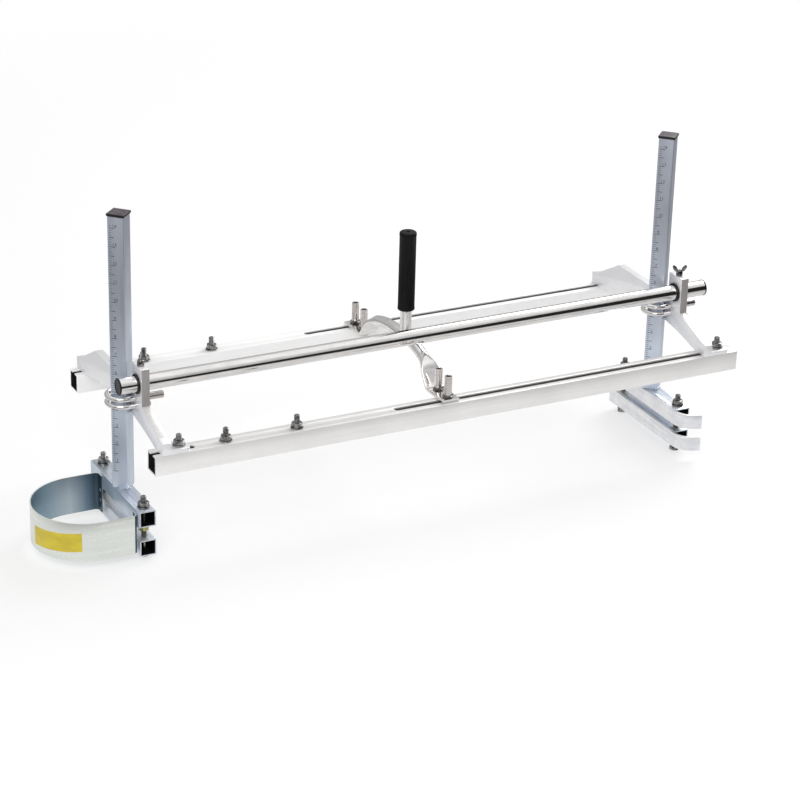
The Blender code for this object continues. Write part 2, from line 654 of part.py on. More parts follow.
def arch_stations():
    """(Y, Z, turn, half width, half thickness) along the arch, flat at the rails and round on top."""
    flat_z = FOOT_BOTTOM + ARCH_STRAP_THICKNESS / 2.0
    stations = [(y, flat_z, 0.0, *arch_section(y)) for y in (ARCH_STRAP_START, ARCH_STRAP_END)]
    run = ARCH_BEND_END - ARCH_STRAP_END
    end_z, end_slope = arch_height(ARCH_BEND_END)
    steps = 8
    for i in range(1, steps + 1):
        t = i / steps
        y = ARCH_STRAP_END + run * t
        z = flat_z + (end_z - flat_z) * (3.0 * t * t - 2.0 * t ** 3) + end_slope * run * (t ** 3 - t * t)
        slope = (end_z - flat_z) * (6.0 * t - 6.0 * t * t) / run + end_slope * (3.0 * t * t - 2.0 * t)
        stations.append((y, z, math.atan(slope), *arch_section(y)))
    rise = FRAME_DEPTH / 2.0 - ARCH_LEVEL_HALF - ARCH_BEND_END
    for i in range(1, steps + 1):
        y = ARCH_BEND_END + rise * i / steps
        z, slope = arch_height(y)
        stations.append((y, z, math.atan(slope), *arch_section(y)))
    mirrored = [(FRAME_DEPTH - y, z, -turn, w, t) for y, z, turn, w, t in reversed(stations)]
    return stations + mirrored


def make_arch(parent, chrome, sides=16):
    """A bent tube across both rails, pressed flat at its feet and drilled for the sleeve bolts."""
    rings = []
    for y, z, turn, half_width, half_thick in arch_stations():
        power = 0.35 + 0.65 * min(1.0, half_thick / half_width)
        ring = []
        for i in range(sides):
            a = 2.0 * math.pi * (i + 0.5) / sides
            c, s = math.cos(a), math.sin(a)
            across = half_width * math.copysign(abs(c) ** power, c)
            up = half_thick * math.copysign(abs(s) ** power, s)
            ring.append(Vector((across, y - up * math.sin(turn), z + up * math.cos(turn))))
        rings.append(ring)
    arch = add_object("handle_arch", loft(rings), chrome, parent, (0.0, 0.0, 0.0), 50.0)
    for y in (*sleeve_places("front"), *sleeve_places("rear")):
        hole = upright_hole(BOLT_HOLE, RAIL_SIZE, RAIL_SIZE + 4.0 * ARCH_STRAP_THICKNESS)
        cut(arch, hole, parent, (0.0, y, 0.0))
    return arch


def sleeve_places(rail):
    """Y of the sleeve bolt over the rail's slot and of the one beside the rail."""
    if rail == "front":
        return RAIL_MID, RAIL_MID + SLEEVE_PITCH
    return FRAME_DEPTH - RAIL_MID, FRAME_DEPTH - RAIL_MID - SLEEVE_PITCH


def make_sleeve_bolt(name, y, in_slot, parent, steel):
    """A long round nut with an open top, on a bolt whose head is below the arch's foot."""
    seat = FOOT_BOTTOM + ARCH_STRAP_THICKNESS + GAP
    top = seat + SLEEVE_HEIGHT
    under = RAIL_SIZE - RAIL_WALL - GAP if in_slot else RAIL_SIZE
    corner = T_HEAD_RADIUS if in_slot else NUT_ACROSS_CORNERS / 2.0
    rings = [
        hexagon(corner, under - T_HEAD_HEIGHT), hexagon(corner, under),
        round_ring(BOLT_RADIUS, under), round_ring(BOLT_RADIUS, seat),
        round_ring(SLEEVE_RADIUS, seat), round_ring(SLEEVE_RADIUS, top),
        round_ring(SLEEVE_HOLE_RADIUS, top), round_ring(SLEEVE_HOLE_RADIUS, top - SLEEVE_HOLE_DEPTH),
    ]
    return add_object(name, loft(rings), steel, parent, (0.0, y, 0.0), 40.0)


def make_handle(parent, chrome, rubber):
    """An upright tube, shaped to sit on the round arch, and the rubber grip round it."""
    foot = ARCH_TOP_Z + HANDLE_TUBE_START
    roof = GRIP_TOP_Z - GRIP_END_WALL - GAP
    inner = HANDLE_TUBE_RADIUS - HANDLE_TUBE_WALL
    profile = [(inner, 0.0), (HANDLE_TUBE_RADIUS, 0.0), (HANDLE_TUBE_RADIUS, roof - foot), (inner, roof - foot)]
    bm = turned(profile, 24, closed=True)
    tube = add_object("handle_tube", bm, chrome, parent, (0.0, HANDLE_Y, foot), 40.0)
    saddle_radius = HANDLE_TUBE_RADIUS + GAP
    saddle = turned([(saddle_radius, -2.0 * saddle_radius), (saddle_radius, 2.0 * saddle_radius)])
    cut(tube, turn_mesh(saddle, 90.0, "X"), parent, (0.0, HANDLE_Y, ARCH_TOP_Z))
    bore = HANDLE_TUBE_RADIUS + GAP
    bottom = GRIP_TOP_Z - GRIP_LENGTH
    edge = GRIP_RADIUS * 0.12
    grip = [
        (bore, roof), (bore, bottom), (GRIP_RADIUS - edge, bottom), (GRIP_RADIUS, bottom + edge),
        (GRIP_RADIUS, GRIP_TOP_Z - edge), (GRIP_RADIUS - edge, GRIP_TOP_Z),
    ]
    bm = turned([(radius, z - bottom) for radius, z in grip], 24)
    add_object("handle_grip", bm, rubber, parent, (0.0, HANDLE_Y, bottom), 40.0)


def make_bracket_set(side, parent, materials):
    """One bracket with its bush, foot bolts, U-bolts, nuts and wing screw."""
    make_bracket(side, parent, materials["alloy"])
    make_bush(side, parent, materials["plastic"])
    make_slot_bolt(side + "_front_foot_bolt", FOOT_BOLT_REACH, RAIL_MID, FOOT_TOP, parent, materials["zinc"])
    make_slot_bolt(side + "_rear_foot_bolt", FOOT_BOLT_REACH, RAIL_PITCH + RAIL_MID, FOOT_TOP, parent, materials["zinc"])
    for level, height in U_BOLT_Z.items():
        make_u_bolt(side + "_" + level + "_u_bolt", height, parent, materials["chrome"])
        for end, way in (("front", -1.0), ("rear", 1.0)):
            name = "_".join((side, level, end, "u_nut"))
            make_u_nut(name, POST_Y + way * U_PITCH_RADIUS, level, parent, materials["zinc"])
    make_wing_screw(side, parent, materials["zinc"])


def make_post_set(side, parent, materials):
    """One post with its cap, clamp tubes and clamp bolts."""
    steel = materials["zinc"]
    make_post(side, parent, steel, materials["plastic"])
    make_clamp_tube(side + "_upper_clamp_tube", CLAMP_UNDERSIDE, parent, steel)
    make_clamp_tube(side + "_lower_clamp_tube", JAW_UNDERSIDE + JAW_LIFT[side], parent, steel)
    for end, y in zip(("front", "rear"), CLAMP_BOLT_Y):
        make_clamp_bolt(side + "_" + end + "_clamp_bolt", y, LOCK_NUT_HEIGHT[side], parent, steel)


def main():
    clear_scene()
    materials = {
        "alloy": make_material("aluminium", (0.80, 0.80, 0.81), 0.9, 0.35),
        "zinc": make_material("zinc_plated_steel", (0.60, 0.63, 0.68), 1.0, 0.35),
        "chrome": make_material("chromed_steel", (0.75, 0.75, 0.76), 1.0, 0.08),
        "rubber": make_material("black_rubber", (0.015, 0.015, 0.015), 0.0, 0.6),
        "plastic": make_material("black_plastic", (0.02, 0.02, 0.02), 0.0, 0.4),
    }
    base = add_empty("frame_origin", None, -ORIGIN)
    make_rail("front_rail", 0.0, base, materials["alloy"])
    make_rail("rear_rail", RAIL_PITCH, base, materials["alloy"])
    for rail, y in (("front", RAIL_MID), ("rear", RAIL_PITCH + RAIL_MID)):
        for number, x in enumerate(SPARE_BOLT_X, 1):
            name = rail + "_rail_bolt_" + str(number)
            make_slot_bolt(name, x, y, RAIL_SIZE, base, materials["zinc"], SPARE_STUD_ABOVE_NUT)
    for side, x in POST_X.items():
        carrier = add_empty(side + "_carrier", base, (x, 0.0, 0.0))
        make_bracket_set(side, carrier, materials)
        make_post_set(side, carrier, materials)
        if side == "left":
            make_guard(carrier, materials["zinc"])
            make_guard_plate(carrier, materials["zinc"])
        else:
            jaw = JAW_UNDERSIDE + JAW_LIFT[side]
            for level, underside in (("upper", CLAMP_UNDERSIDE), ("lower", jaw)):
                low = underside + (CLAMP_SIDE - SKID_HEIGHT) / 2.0
                make_skid(level + "_skid", low, low + SKID_HEIGHT, carrier, materials["zinc"])
    make_cross_tube(base, materials["chrome"], materials["plastic"])
    handle = add_empty("handle_carrier", base, (HANDLE_X, 0.0, 0.0))
    make_arch(handle, materials["chrome"])
    make_handle(handle, materials["chrome"], materials["rubber"])
    for rail in ("front", "rear"):
        over_slot, beside = sleeve_places(rail)
        make_sleeve_bolt("handle_" + rail + "_slot_sleeve", over_slot, True, handle, materials["zinc"])
        make_sleeve_bolt("handle_" + rail + "_side_sleeve", beside, False, handle, materials["zinc"])


main()
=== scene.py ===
import json
import math

import bmesh
import bpy
from mathutils import Matrix, Vector

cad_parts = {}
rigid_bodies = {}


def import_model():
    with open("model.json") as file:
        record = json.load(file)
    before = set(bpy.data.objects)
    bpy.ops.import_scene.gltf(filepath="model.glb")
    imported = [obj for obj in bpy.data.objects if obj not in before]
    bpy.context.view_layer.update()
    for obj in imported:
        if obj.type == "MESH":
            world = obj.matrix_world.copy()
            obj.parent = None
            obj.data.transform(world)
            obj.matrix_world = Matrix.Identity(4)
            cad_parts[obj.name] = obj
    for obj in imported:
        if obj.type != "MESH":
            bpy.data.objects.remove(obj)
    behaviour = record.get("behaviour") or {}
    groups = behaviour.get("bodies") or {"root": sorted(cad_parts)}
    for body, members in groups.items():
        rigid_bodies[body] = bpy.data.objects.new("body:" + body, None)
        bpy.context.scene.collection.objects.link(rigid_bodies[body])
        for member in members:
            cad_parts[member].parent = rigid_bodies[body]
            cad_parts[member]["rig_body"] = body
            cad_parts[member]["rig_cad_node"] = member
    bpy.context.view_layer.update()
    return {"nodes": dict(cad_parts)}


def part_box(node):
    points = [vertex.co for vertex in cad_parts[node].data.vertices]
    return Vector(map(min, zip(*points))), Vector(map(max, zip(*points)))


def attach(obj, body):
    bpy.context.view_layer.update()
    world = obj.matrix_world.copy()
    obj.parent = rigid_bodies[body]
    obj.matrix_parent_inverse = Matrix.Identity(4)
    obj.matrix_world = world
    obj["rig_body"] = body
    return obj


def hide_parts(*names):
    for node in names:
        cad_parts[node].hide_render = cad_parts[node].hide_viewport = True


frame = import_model()

bl_info = {
    "name": "Log cutting frame",
    "version": (1, 0, 0),
    "blender": (4, 5, 0),
    "location": "View3D > Sidebar > Log Frame",
    "description": "Builds the dressed pieces of a guide frame that carries a saw along a log",
    "category": "Object",
}

# Places and sizes in metres. Places are from the front rail's lower left front corner.
RAIL_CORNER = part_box("front_rail")[0]
SIDES = {"left": 0.0, "right": 0.825}
CARRIERS = {"left": "frame", "right": "right_carriage"}
RAIL_SIDE = 0.027
FRAME_DEPTH = 0.316
RAIL_MIDDLES = {"front": 0.0135, "rear": 0.3025}
RAIL_TOP = 0.0273
FOOT_TOP = 0.0328
SPARE_BOLTS = (0.104, 0.206)
FOOT_BOLT = 0.038
PLATE_FRONT = 0.0103
PLATE_BACK = 0.0216
POST_Y = 0.117
POST_SIDE = 0.0225
POST_FOOT = -0.063
POST_LENGTH = 0.383
TUBE_Y, TUBE_Z = 0.0885, 0.094
TUBE_START, TUBE_LENGTH, TUBE_RADIUS = -0.015, 0.896, 0.011
BLOCK_TOP = 0.119
U_BOLT_LEVELS = {"lower": 0.0590, "upper": 0.0694}
U_ROD, U_PITCH = 0.0035, 0.01971
CLAMP_SIDE, CLAMP_START, CLAMP_LENGTH = 0.0225, 0.030, 0.177
CLAMP_UNDER = {"upper": -0.0858, "lower": -0.1278}
RIGHT_JAW_LIFT = 0.0075
CLAMP_BOLTS = {"front": 0.045, "rear": 0.192}
LOCK_NUT = {"left": 0.0100, "right": 0.0060}
SHEET, SHEET_FACE = 0.0015, -0.01155
GUARD_X, GUARD_Y, GUARD_RADIUS, GUARD_HEIGHT = -0.05935, 0.104, 0.073, 0.055
GUARD_DROP = 0.004
GUARD_TAB, GUARD_STRAIGHT = 0.014, 0.046
SKID_THICK, SKID_HEIGHT, SKID_BEND, SKID_TIP = 0.003, 0.0215, 0.025, 0.010
HANDLE_X, HANDLE_Y = 0.431, 0.144
GRIP_TOP, GRIP_LENGTH, GRIP_RADIUS = 0.2258, 0.1143, 0.012
ARCH_TOP, ARCH_RADIUS = 0.0705, 0.160
STRAP_WIDE, STRAP_THICK, BOW_RADIUS = 0.01325, 0.0022, 0.008

# The gap that the CAD leaves between neighbours, and the sizes of M8 fasteners for washer and hexagon_nut.
GAP = 0.0003
PIPE_WALL = 0.0015
SLOT_ROOF = RAIL_SIDE - 0.0023
M8_ROD = 0.0039
M8_WASHER = (0.0085, 0.0042, 0.0014)
M8_NUT = (0.0130, 0.0065, M8_ROD)
M8_HEAD = (0.0130, 0.0045)

HALF_TURN = math.pi
QUARTER_TURN = math.pi / 2.0

# The range in which most of a noise's values lie.
NOISE_MIDDLE = (0.3, 0.7)


def linear(code):
    """An sRGB hex colour as linear red, green, blue and alpha."""
    parts = [int(code[i:i + 2], 16) / 255.0 for i in (1, 3, 5)]
    return tuple(p / 12.92 if p <= 0.04045 else ((p + 0.055) / 1.055) ** 2.4 for p in parts) + (1.0,)


def spot(x, y, z):
    """A point given in metres from the front rail's corner, in the model's own frame."""
    return RAIL_CORNER + Vector((x, y, z))


# ---------------------------------------------------------------- materials


def settings():
    """The colours and stage sizes that a user can change."""
    return bpy.context.scene.log_frame_looks


def add_node(tree, kind, inputs=None, **values):
    """Add one shader node, set its properties, and set or link its inputs."""
    node = tree.nodes.new("ShaderNode" + kind)
    for key, value in values.items():
        setattr(node, key, value)
    for key, value in (inputs or {}).items():
        if isinstance(value, bpy.types.NodeSocket):
            tree.links.new(value, node.inputs[key])
        else:
            node.inputs[key].default_value = value
    return node


def start_material(name):
    """A new material, its node tree and the object's own coordinates."""
    material = bpy.data.materials.new(name)
    material.use_nodes = True
    tree = material.node_tree
    return material, tree, add_node(tree, "TexCoord").outputs["Object"]


def stretched_noise(tree, place, cells, detail=4.0, roughness=0.55):
    """Noise with its own scale, in cells a metre, along each axis, or with one scale along all."""
    cells = (cells, cells, cells) if isinstance(cells, float) else cells
    mapping = add_node(tree, "Mapping", {"Vector": place, "Scale": cells})
    inputs = {"Vector": mapping.outputs["Vector"], "Scale": 1.0, "Detail": detail, "Roughness": roughness}
    return add_node(tree, "TexNoise", inputs).outputs["Fac"]


def blend_over(tree, value, start, end, first, second):
    """Go from the first colour to the second while a value goes from start to end."""
    share = add_node(tree, "MapRange", {"Value": value, "From Min": start, "From Max": end}).outputs["Result"]
    first, second = [linear(colour) if isinstance(colour, str) else colour for colour in (first, second)]
    return add_node(tree, "Mix", {0: share, 6: first, 7: second}, data_type="RGBA").outputs[2]


def fill_ramp(ramp, stops):
    """Give a colour ramp its (position, colour) stops."""
    elements = ramp.color_ramp.elements
    while len(elements) < len(stops):
        elements.new(0.5)
    for element, (position, colour) in zip(elements, stops):
        element.position = position
        element.color = colour
    return ramp.outputs["Color"]


def finish_surface(material, colour, grain, low, high, relief=0.0, **values):
    """Join colour, roughness and relief. The grain takes the roughness from low to high."""
    tree = material.node_tree
    shader = tree.nodes["Principled BSDF"]
    tree.links.new(colour, shader.inputs["Base Color"])
    start, end = NOISE_MIDDLE
    rough = add_node(tree, "MapRange",
                     {"Value": grain, "From Min": start, "From Max": end, "To Min": low, "To Max": high})
    tree.links.new(rough.outputs["Result"], shader.inputs["Roughness"])
    if relief:
        bump = add_node(tree, "Bump", {"Height": grain, "Distance": relief, "Strength": 1.0})
        tree.links.new(bump.outputs["Normal"], shader.inputs["Normal"])
    for key, value in values.items():
        shader.inputs[key].default_value = value
    return material


def drawn_metal(name, light, dark, roughness, lines, relief, clouds=9.0, metallic=1.0):
    """A metal with fine lines one way and slow changes of tone, both in cells a metre along each axis.
    Real tool lines are finer: these are about a millimetre apart, as coarse as they need to be to show.
    A metallic share below 1 gives the dull skin of oxide or passivation its part."""
    material, tree, place = start_material(name)
    tone = stretched_noise(tree, place, clouds, 3.0)
    fine = stretched_noise(tree, place, lines, 5.0, 0.6)
    both = add_node(tree, "Math", {0: tone, 1: fine}, operation="ADD").outputs[0]
    colour = blend_over(tree, both, 0.75, 1.25, light, dark)
    return finish_surface(material, colour, fine, roughness * 0.8, roughness * 1.25, relief, Metallic=metallic)


def grained(name, light, dark, cells, detail, low, high, relief=0.0, **values):
    """A surface whose tone and roughness both follow one grain, in cells a metre along each axis."""
    material, tree, place = start_material(name)
    grain = stretched_noise(tree, place, cells, detail)
    colour = blend_over(tree, grain, *NOISE_MIDDLE, light, dark)
    return finish_surface(material, colour, grain, low, high, relief, **values)


def extruded_aluminium():
    """Aluminium pressed through a die: satin, near white, with fine lines along the rail."""
    return drawn_metal("extruded_aluminium", settings().aluminium, "#EFEDEB", 0.36, (6.0, 900.0, 900.0), 0.00001,
                       metallic=0.45)


def weathered_aluminium():
    """The far rail's skin: the same die lines, painted paler and duller as a painted highlight, where the far rail
    shows lit to white.
    """
    return drawn_metal("weathered_aluminium", "#FFFFFF", "#F6F5F4", 0.45, (6.0, 900.0, 900.0), 0.00001,
                       metallic=0.05)


def shaded_aluminium():
    """The rail's inner walls: the same metal painted grey as painted shade inside the rail, and painted black near the
    open left end as deeper painted shade.
    """
    material, tree, place = start_material("painted_shade_aluminium")
    along = add_node(tree, "SeparateXYZ", {"Vector": place}).outputs["X"]
    fine = stretched_noise(tree, place, (6.0, 500.0, 500.0), 5.0, 0.6)
    metal = blend_over(tree, fine, *NOISE_MIDDLE, "#B9B7B4", "#8E8C8A")
    # Painted shade: black near the rail's open left end, grey farther in.
    colour = blend_over(tree, along, spot(0.03, 0.0, 0.0).x, spot(0.14, 0.0, 0.0).x, "#161515", metal)
    return finish_surface(material, colour, fine, 0.5, 0.7, 0.00002, Metallic=0.4)


def machined_aluminium():
    """Aluminium plate milled flat: brighter than the rails, with cutter marks about 1.4 mm apart."""
    return drawn_metal("machined_aluminium", "#FAFAFB", "#EFEFF2", 0.40, (700.0, 60.0, 700.0), 0.00001,
                       metallic=0.45)


def sawn_aluminium():
    """The plate's sawn edge: duller and greyer than its milled face, with lines across the edge."""
    return drawn_metal("sawn_aluminium", "#B4B1B0", "#9C9897", 0.45, (900.0, 900.0, 60.0), 0.00002, metallic=0.4)


def filed_aluminium():
    """The plate's long cut edge above its arms: the sawn edge painted lighter, between the sawn end and the milled
    face, as a painted highlight where it faces up.
    """
    return drawn_metal("filed_aluminium", "#E9E7E6", "#D6D4D3", 0.36, (60.0, 60.0, 900.0), 0.00001, metallic=0.7)


def post_zinc():
    """Blue-passivated zinc on the posts: grey at the top, bluer and paler lower down, a painted reflection of the
    nearer floor.
    """
    material, tree, place = start_material("blue_passivated_zinc_post")
    height = add_node(tree, "SeparateXYZ", {"Vector": place}).outputs["Z"]
    cloud = stretched_noise(tree, place, (28.0, 28.0, 8.0), 3.0)
    drop = add_node(tree, "Math", {0: cloud, 1: height}, operation="SUBTRACT").outputs[0]
    top = blend_over(tree, cloud, *NOISE_MIDDLE, "#C3C8D4", "#ACB1BC")
    # Painted reflection: the zinc goes paler and bluer towards the foot, where the post sees the floor closer.
    colour = blend_over(tree, drop, 0.10, 0.42, top, settings().zinc)
    fine = stretched_noise(tree, place, (260.0, 260.0, 4.0), 5.0, 0.6)
    return finish_surface(material, colour, fine, 0.30, 0.44, 0.00001, Metallic=0.75)


def clamp_zinc():
    """The same zinc on the clamp tubes, painted paler throughout as a painted highlight for tube tops that show lit to
    near white, with draw lines along the tube.
    """
    return drawn_metal("blue_passivated_zinc_tube", "#E8ECF2", "#BCC4D0", 0.34, (260.0, 4.0, 260.0), 0.00001,
                       (28.0, 12.0, 28.0), 0.85)


def bright_zinc():
    """Clear-passivated zinc on rolled sheet: pale, a little warm, with soft reflections."""
    return drawn_metal("clear_passivated_zinc", "#F6F9F4", "#EDF1EB", 0.30, (12.0, 12.0, 240.0), 0.000004,
                       metallic=0.8)


def shaded_zinc():
    """The rolled sheet's inner side: painted shade in a dark steel blue, with a paler band of painted reflection."""
    material, tree, place = start_material("painted_shade_zinc")
    across = add_node(tree, "SeparateXYZ", {"Vector": place}).outputs["X"]
    cloud = stretched_noise(tree, place, (40.0, 40.0, 8.0), 2.0)
    ragged = add_node(tree, "Math", {0: cloud, 1: 0.012, 2: across}, operation="MULTIPLY_ADD").outputs[0]
    nose, tabs = spot(-0.126, 0.0, 0.0).x, spot(-0.012, 0.0, 0.0).x
    share = add_node(tree, "MapRange", {"Value": ragged, "From Min": nose, "From Max": tabs})
    # Painted shade and reflection across the guard's inside: dark near the nose and tabs, a paler reflected band
    # between.
    shades = ((0.0, "#728A95"), (0.3, "#8BA5B3"), (0.68, "#B9C5CD"), (0.88, "#73899B"), (1.0, "#4A5E6B"))
    ramp = add_node(tree, "ValToRGB", {"Fac": share.outputs["Result"]})
    colour = fill_ramp(ramp, [(position, linear(shade)) for position, shade in shades])
    fine = stretched_noise(tree, place, (12.0, 12.0, 240.0), 4.0)
    return finish_surface(material, colour, fine, 0.36, 0.52, 0.00001, Metallic=0.85)


def skid_zinc():
    """Clear zinc on the skid strips, with a cold blue cast and a cloudy bloom."""
    return drawn_metal("clear_zinc_strip", "#FFFFFF", "#E9EAF0", 0.32, (12.0, 12.0, 240.0), 0.000004, 60.0, 0.75)


def fastener_zinc():
    """Zinc-plated bolts and nuts: dark between their threads, brighter on their worn corners."""
    return drawn_metal("zinc_plated_fastener", "#ACABA9", "#4C4A4B", 0.20, 300.0, 0.00001, 140.0)


def yellow_zinc():
    """Yellow-passivated zinc on the lock nuts: olive to straw, from the chromate dip."""
    return drawn_metal("yellow_passivated_zinc", "#D6D49B", "#77763F", 0.30, 260.0, 0.00002, 160.0)


def turned_steel():
    """The long round nuts: bright turned steel, with a fine lathe line round them."""
    return drawn_metal("turned_steel", "#EBE6E3", "#BDB6B3", 0.20, (60.0, 60.0, 900.0), 0.00001)


def weld_steel():
    """A weld bead under zinc: pale, rippled and a little glossy."""
    return drawn_metal("plated_weld", "#D5DADF", "#7F8894", 0.25, 500.0, 0.0001, 300.0)


def chrome_plate():
    """Bright chrome on steel tube: a near mirror, with faint polishing haze."""
    return grained("chrome_plate", settings().chrome, "#E2E0DF", (40.0, 120.0, 120.0), 5.0, 0.07, 0.16, Metallic=1.0)


def moulded_nylon():
    """Black injection-moulded nylon: a soft sheen over a fine eroded grain."""
    return grained("moulded_nylon", settings().plastic, "#131216", 1600.0, 2.0, 0.32, 0.46, 0.00004, IOR=1.45)


def painted_sheen_nylon():
    """The cap's crown: the same nylon, painted a violet grey as a painted sheen where the top faces the light."""
    return grained("painted_sheen_crown_nylon", "#5F585F", "#423D43", 120.0, 4.0, 0.4, 0.6, IOR=1.45)


def vulcanised_rubber():
    """Black rubber sleeve: matt, slightly dusty, with drawn lines along its length."""
    return grained("vulcanised_rubber", settings().rubber, "#181817", (900.0, 900.0, 60.0), 4.0, 0.45, 0.62,
                   0.0001, IOR=1.25)


def mill_scale_and_painted_shade():
    """The bare inner wall of a tube: black oxide from the mill, painted near black as painted shade deep in the
    hollow, rough.
    """
    return grained("mill_scale_and_painted_shade", "#050505", "#151417", 300.0, 4.0, 0.6, 0.85, IOR=1.2)


def etched_mark():
    """Acid-etched scale marks: dark grey in the zinc, uneven where the acid bit less."""
    return grained("etched_mark", "#353842", "#555962", 420.0, 3.0, 0.5, 0.7, Metallic=0.5)


def label_vinyl():
    """A plain yellow vinyl label: printed film, glossy, with slightly browned patches."""
    return grained("label_vinyl", settings().label, "#C4AF2E", (30.0, 30.0, 60.0), 2.0, 0.28, 0.4, IOR=1.52)


FINISHES = {
    "extruded": extruded_aluminium, "pale": weathered_aluminium, "inside": shaded_aluminium,
    "machined": machined_aluminium, "sawn": sawn_aluminium, "lit_sawn": filed_aluminium,
    "post": post_zinc, "clamp": clamp_zinc, "sheet": bright_zinc, "shaded": shaded_zinc, "skid": skid_zinc,
    "fastener": fastener_zinc, "yellow": yellow_zinc, "turned": turned_steel, "weld": weld_steel,
    "chrome": chrome_plate, "nylon": moulded_nylon, "worn": painted_sheen_nylon, "rubber": vulcanised_rubber,
    "scale": mill_scale_and_painted_shade, "mark": etched_mark, "label": label_vinyl,
}
made_materials = {}


def finish_of(name):
    """The named material, made the first time that it is asked for."""
    if name not in made_materials:
        made_materials[name] = FINISHES[name]()
    return made_materials[name]


# ---------------------------------------------------------------- modelling helpers


def leave_mesh():
    bpy.ops.object.mode_set(mode="OBJECT")


def clear_selection():
    """Leave edit mode and select nothing, because the frame's nodes are loaded selected."""
    if bpy.context.object and bpy.context.object.mode != "OBJECT":
        leave_mesh()
    bpy.ops.object.select_all(action="DESELECT")


def select_only(*objects):
    clear_selection()
    for obj in objects:
        obj.select_set(True)
    bpy.context.view_layer.objects.active = objects[0]


def select_mesh():
    bpy.ops.mesh.select_all(action="SELECT")


def edit_mesh():
    """Open the active object's mesh, with all of it selected."""
    bpy.ops.object.mode_set(mode="EDIT")
    select_mesh()


def apply_transform():
    """Put the active object's place, turn and scale into its mesh."""
    bpy.ops.object.transform_apply(location=True, rotation=True, scale=True)


def shift(obj, offset):
    """Move an object in its mesh."""
    obj.data.transform(Matrix.Translation(offset))
    return obj


def discard(*objects):
    for obj in objects:
        bpy.data.objects.remove(obj, do_unlink=True)


def settle(obj, location=(0.0, 0.0, 0.0), turn=(0.0, 0.0, 0.0)):
    """Move and turn an object in its mesh."""
    select_only(obj)
    obj.location = location
    obj.rotation_euler = turn
    apply_transform()
    return obj


def make_block(size, location):
    """A box of the given size round a place."""
    clear_selection()
    bpy.ops.mesh.primitive_cube_add(size=1.0, location=location)
    obj = bpy.context.object
    obj.scale = size
    apply_transform()
    return obj


def start_loop(kind, scale=(1.0, 1.0, 1.0), **sizes):
    """A loop of edges to draw out: a circle, or a plane without its face."""
    clear_selection()
    if kind == "circle":
        bpy.ops.mesh.primitive_circle_add(fill_type="NOTHING", **sizes)
    else:
        bpy.ops.mesh.primitive_plane_add(size=1.0, **sizes)
    obj = bpy.context.object
    obj.scale = scale
    apply_transform()
    edit_mesh()
    if kind != "circle":
        bpy.ops.mesh.delete(type="ONLY_FACE")
        select_mesh()
    return obj


def push(x=0.0, y=0.0, z=0.0):
    """Draw the selected loop out in a straight line."""
    bpy.ops.mesh.extrude_region_move(TRANSFORM_OT_translate={"value": (x, y, z)})


def swing(angle, centre, steps):
    """Draw the selected loop round an upright axis, anticlockwise from above. The tool's own sign is clockwise."""
    bpy.ops.mesh.spin(steps=steps, angle=-angle, center=centre, axis=(0.0, 0.0, 1.0))


def face_out():
    """Point all faces out, and leave the mesh."""
    select_mesh()
    bpy.ops.mesh.normals_make_consistent(inside=False)
    leave_mesh()


def close_mesh(fill=True):
    """Merge the drawn shape's seam, give it its end faces, and point all faces out."""
    select_mesh()
    bpy.ops.mesh.remove_doubles(threshold=0.000001)
    if fill:
        select_mesh()
        bpy.ops.mesh.fill_holes(sides=0)
    face_out()


def lathe(profile, sides=48, ring=False):
    """Raise a circle step by step along +Z. profile holds (radius, height); a ring ends where it began."""
    radius, height = profile[0]
    obj = start_loop("circle", vertices=sides, radius=radius, location=(0.0, 0.0, height))
    for (old_radius, old_height), (new_radius, new_height) in zip(profile, profile[1:]):
        push(z=new_height - old_height)
        if new_radius != old_radius:
            ratio = new_radius / old_radius
            bpy.ops.transform.resize(value=(ratio, ratio, 1.0), center_override=(0.0, 0.0, new_height))
    close_mesh(not ring)
    return obj


def thread_profile(radius, start, end, pitch=0.00125):
    """Crests and roots of a screw thread, as (radius, height) steps with a chamfered end."""
    root = radius - 0.54 * pitch
    steps = []
    turns = max(1, int(abs(end - start) / pitch))
    step = (end - start) / turns
    for i in range(turns):
        z = start + step * i
        steps += [(root, z + 0.1 * step), (radius, z + 0.45 * step), (radius, z + 0.6 * step)]
    steps += [(root, end), (root * 0.86, end + 0.0004 * (1 if end > start else -1))]
    return steps


def apply_modifier(obj, kind, **values):
    modifier = obj.modifiers.new(kind.title(), kind)
    for key, value in values.items():
        setattr(modifier, key, value)
    select_only(obj)
    bpy.ops.object.modifier_apply(modifier=modifier.name)
    return obj


def round_edges(obj, width, segments=2, angle=35.0):
    return apply_modifier(obj, "BEVEL", width=width, segments=segments, limit_method="ANGLE",
                          angle_limit=math.radians(angle), use_clamp_overlap=True)


def carve(obj, tool, operation="DIFFERENCE"):
    """Cut one mesh with another, and throw the tool away."""
    apply_modifier(obj, "BOOLEAN", object=tool, operation=operation, solver="EXACT")
    discard(tool)
    return obj


def join(objects):
    select_only(*objects)
    if len(objects) > 1:
        bpy.ops.object.join()
    return objects[0]


def copy_of(obj, offset=(0.0, 0.0, 0.0), turn=None):
    """A copy with its own mesh, moved in its mesh."""
    twin = obj.copy()
    twin.data = obj.data.copy()
    bpy.context.scene.collection.objects.link(twin)
    if turn:
        twin.data.transform(turn)
    shift(twin, offset)
    return twin


def paint(obj, *finishes):
    """Give an object its materials; the second is for the faces already marked for it."""
    marks = [face.material_index for face in obj.data.polygons]
    obj.data.materials.clear()
    for name in finishes:
        obj.data.materials.append(finish_of(name))
    for face, mark in zip(obj.data.polygons, marks):
        face.material_index = min(mark, len(finishes) - 1)
    return obj


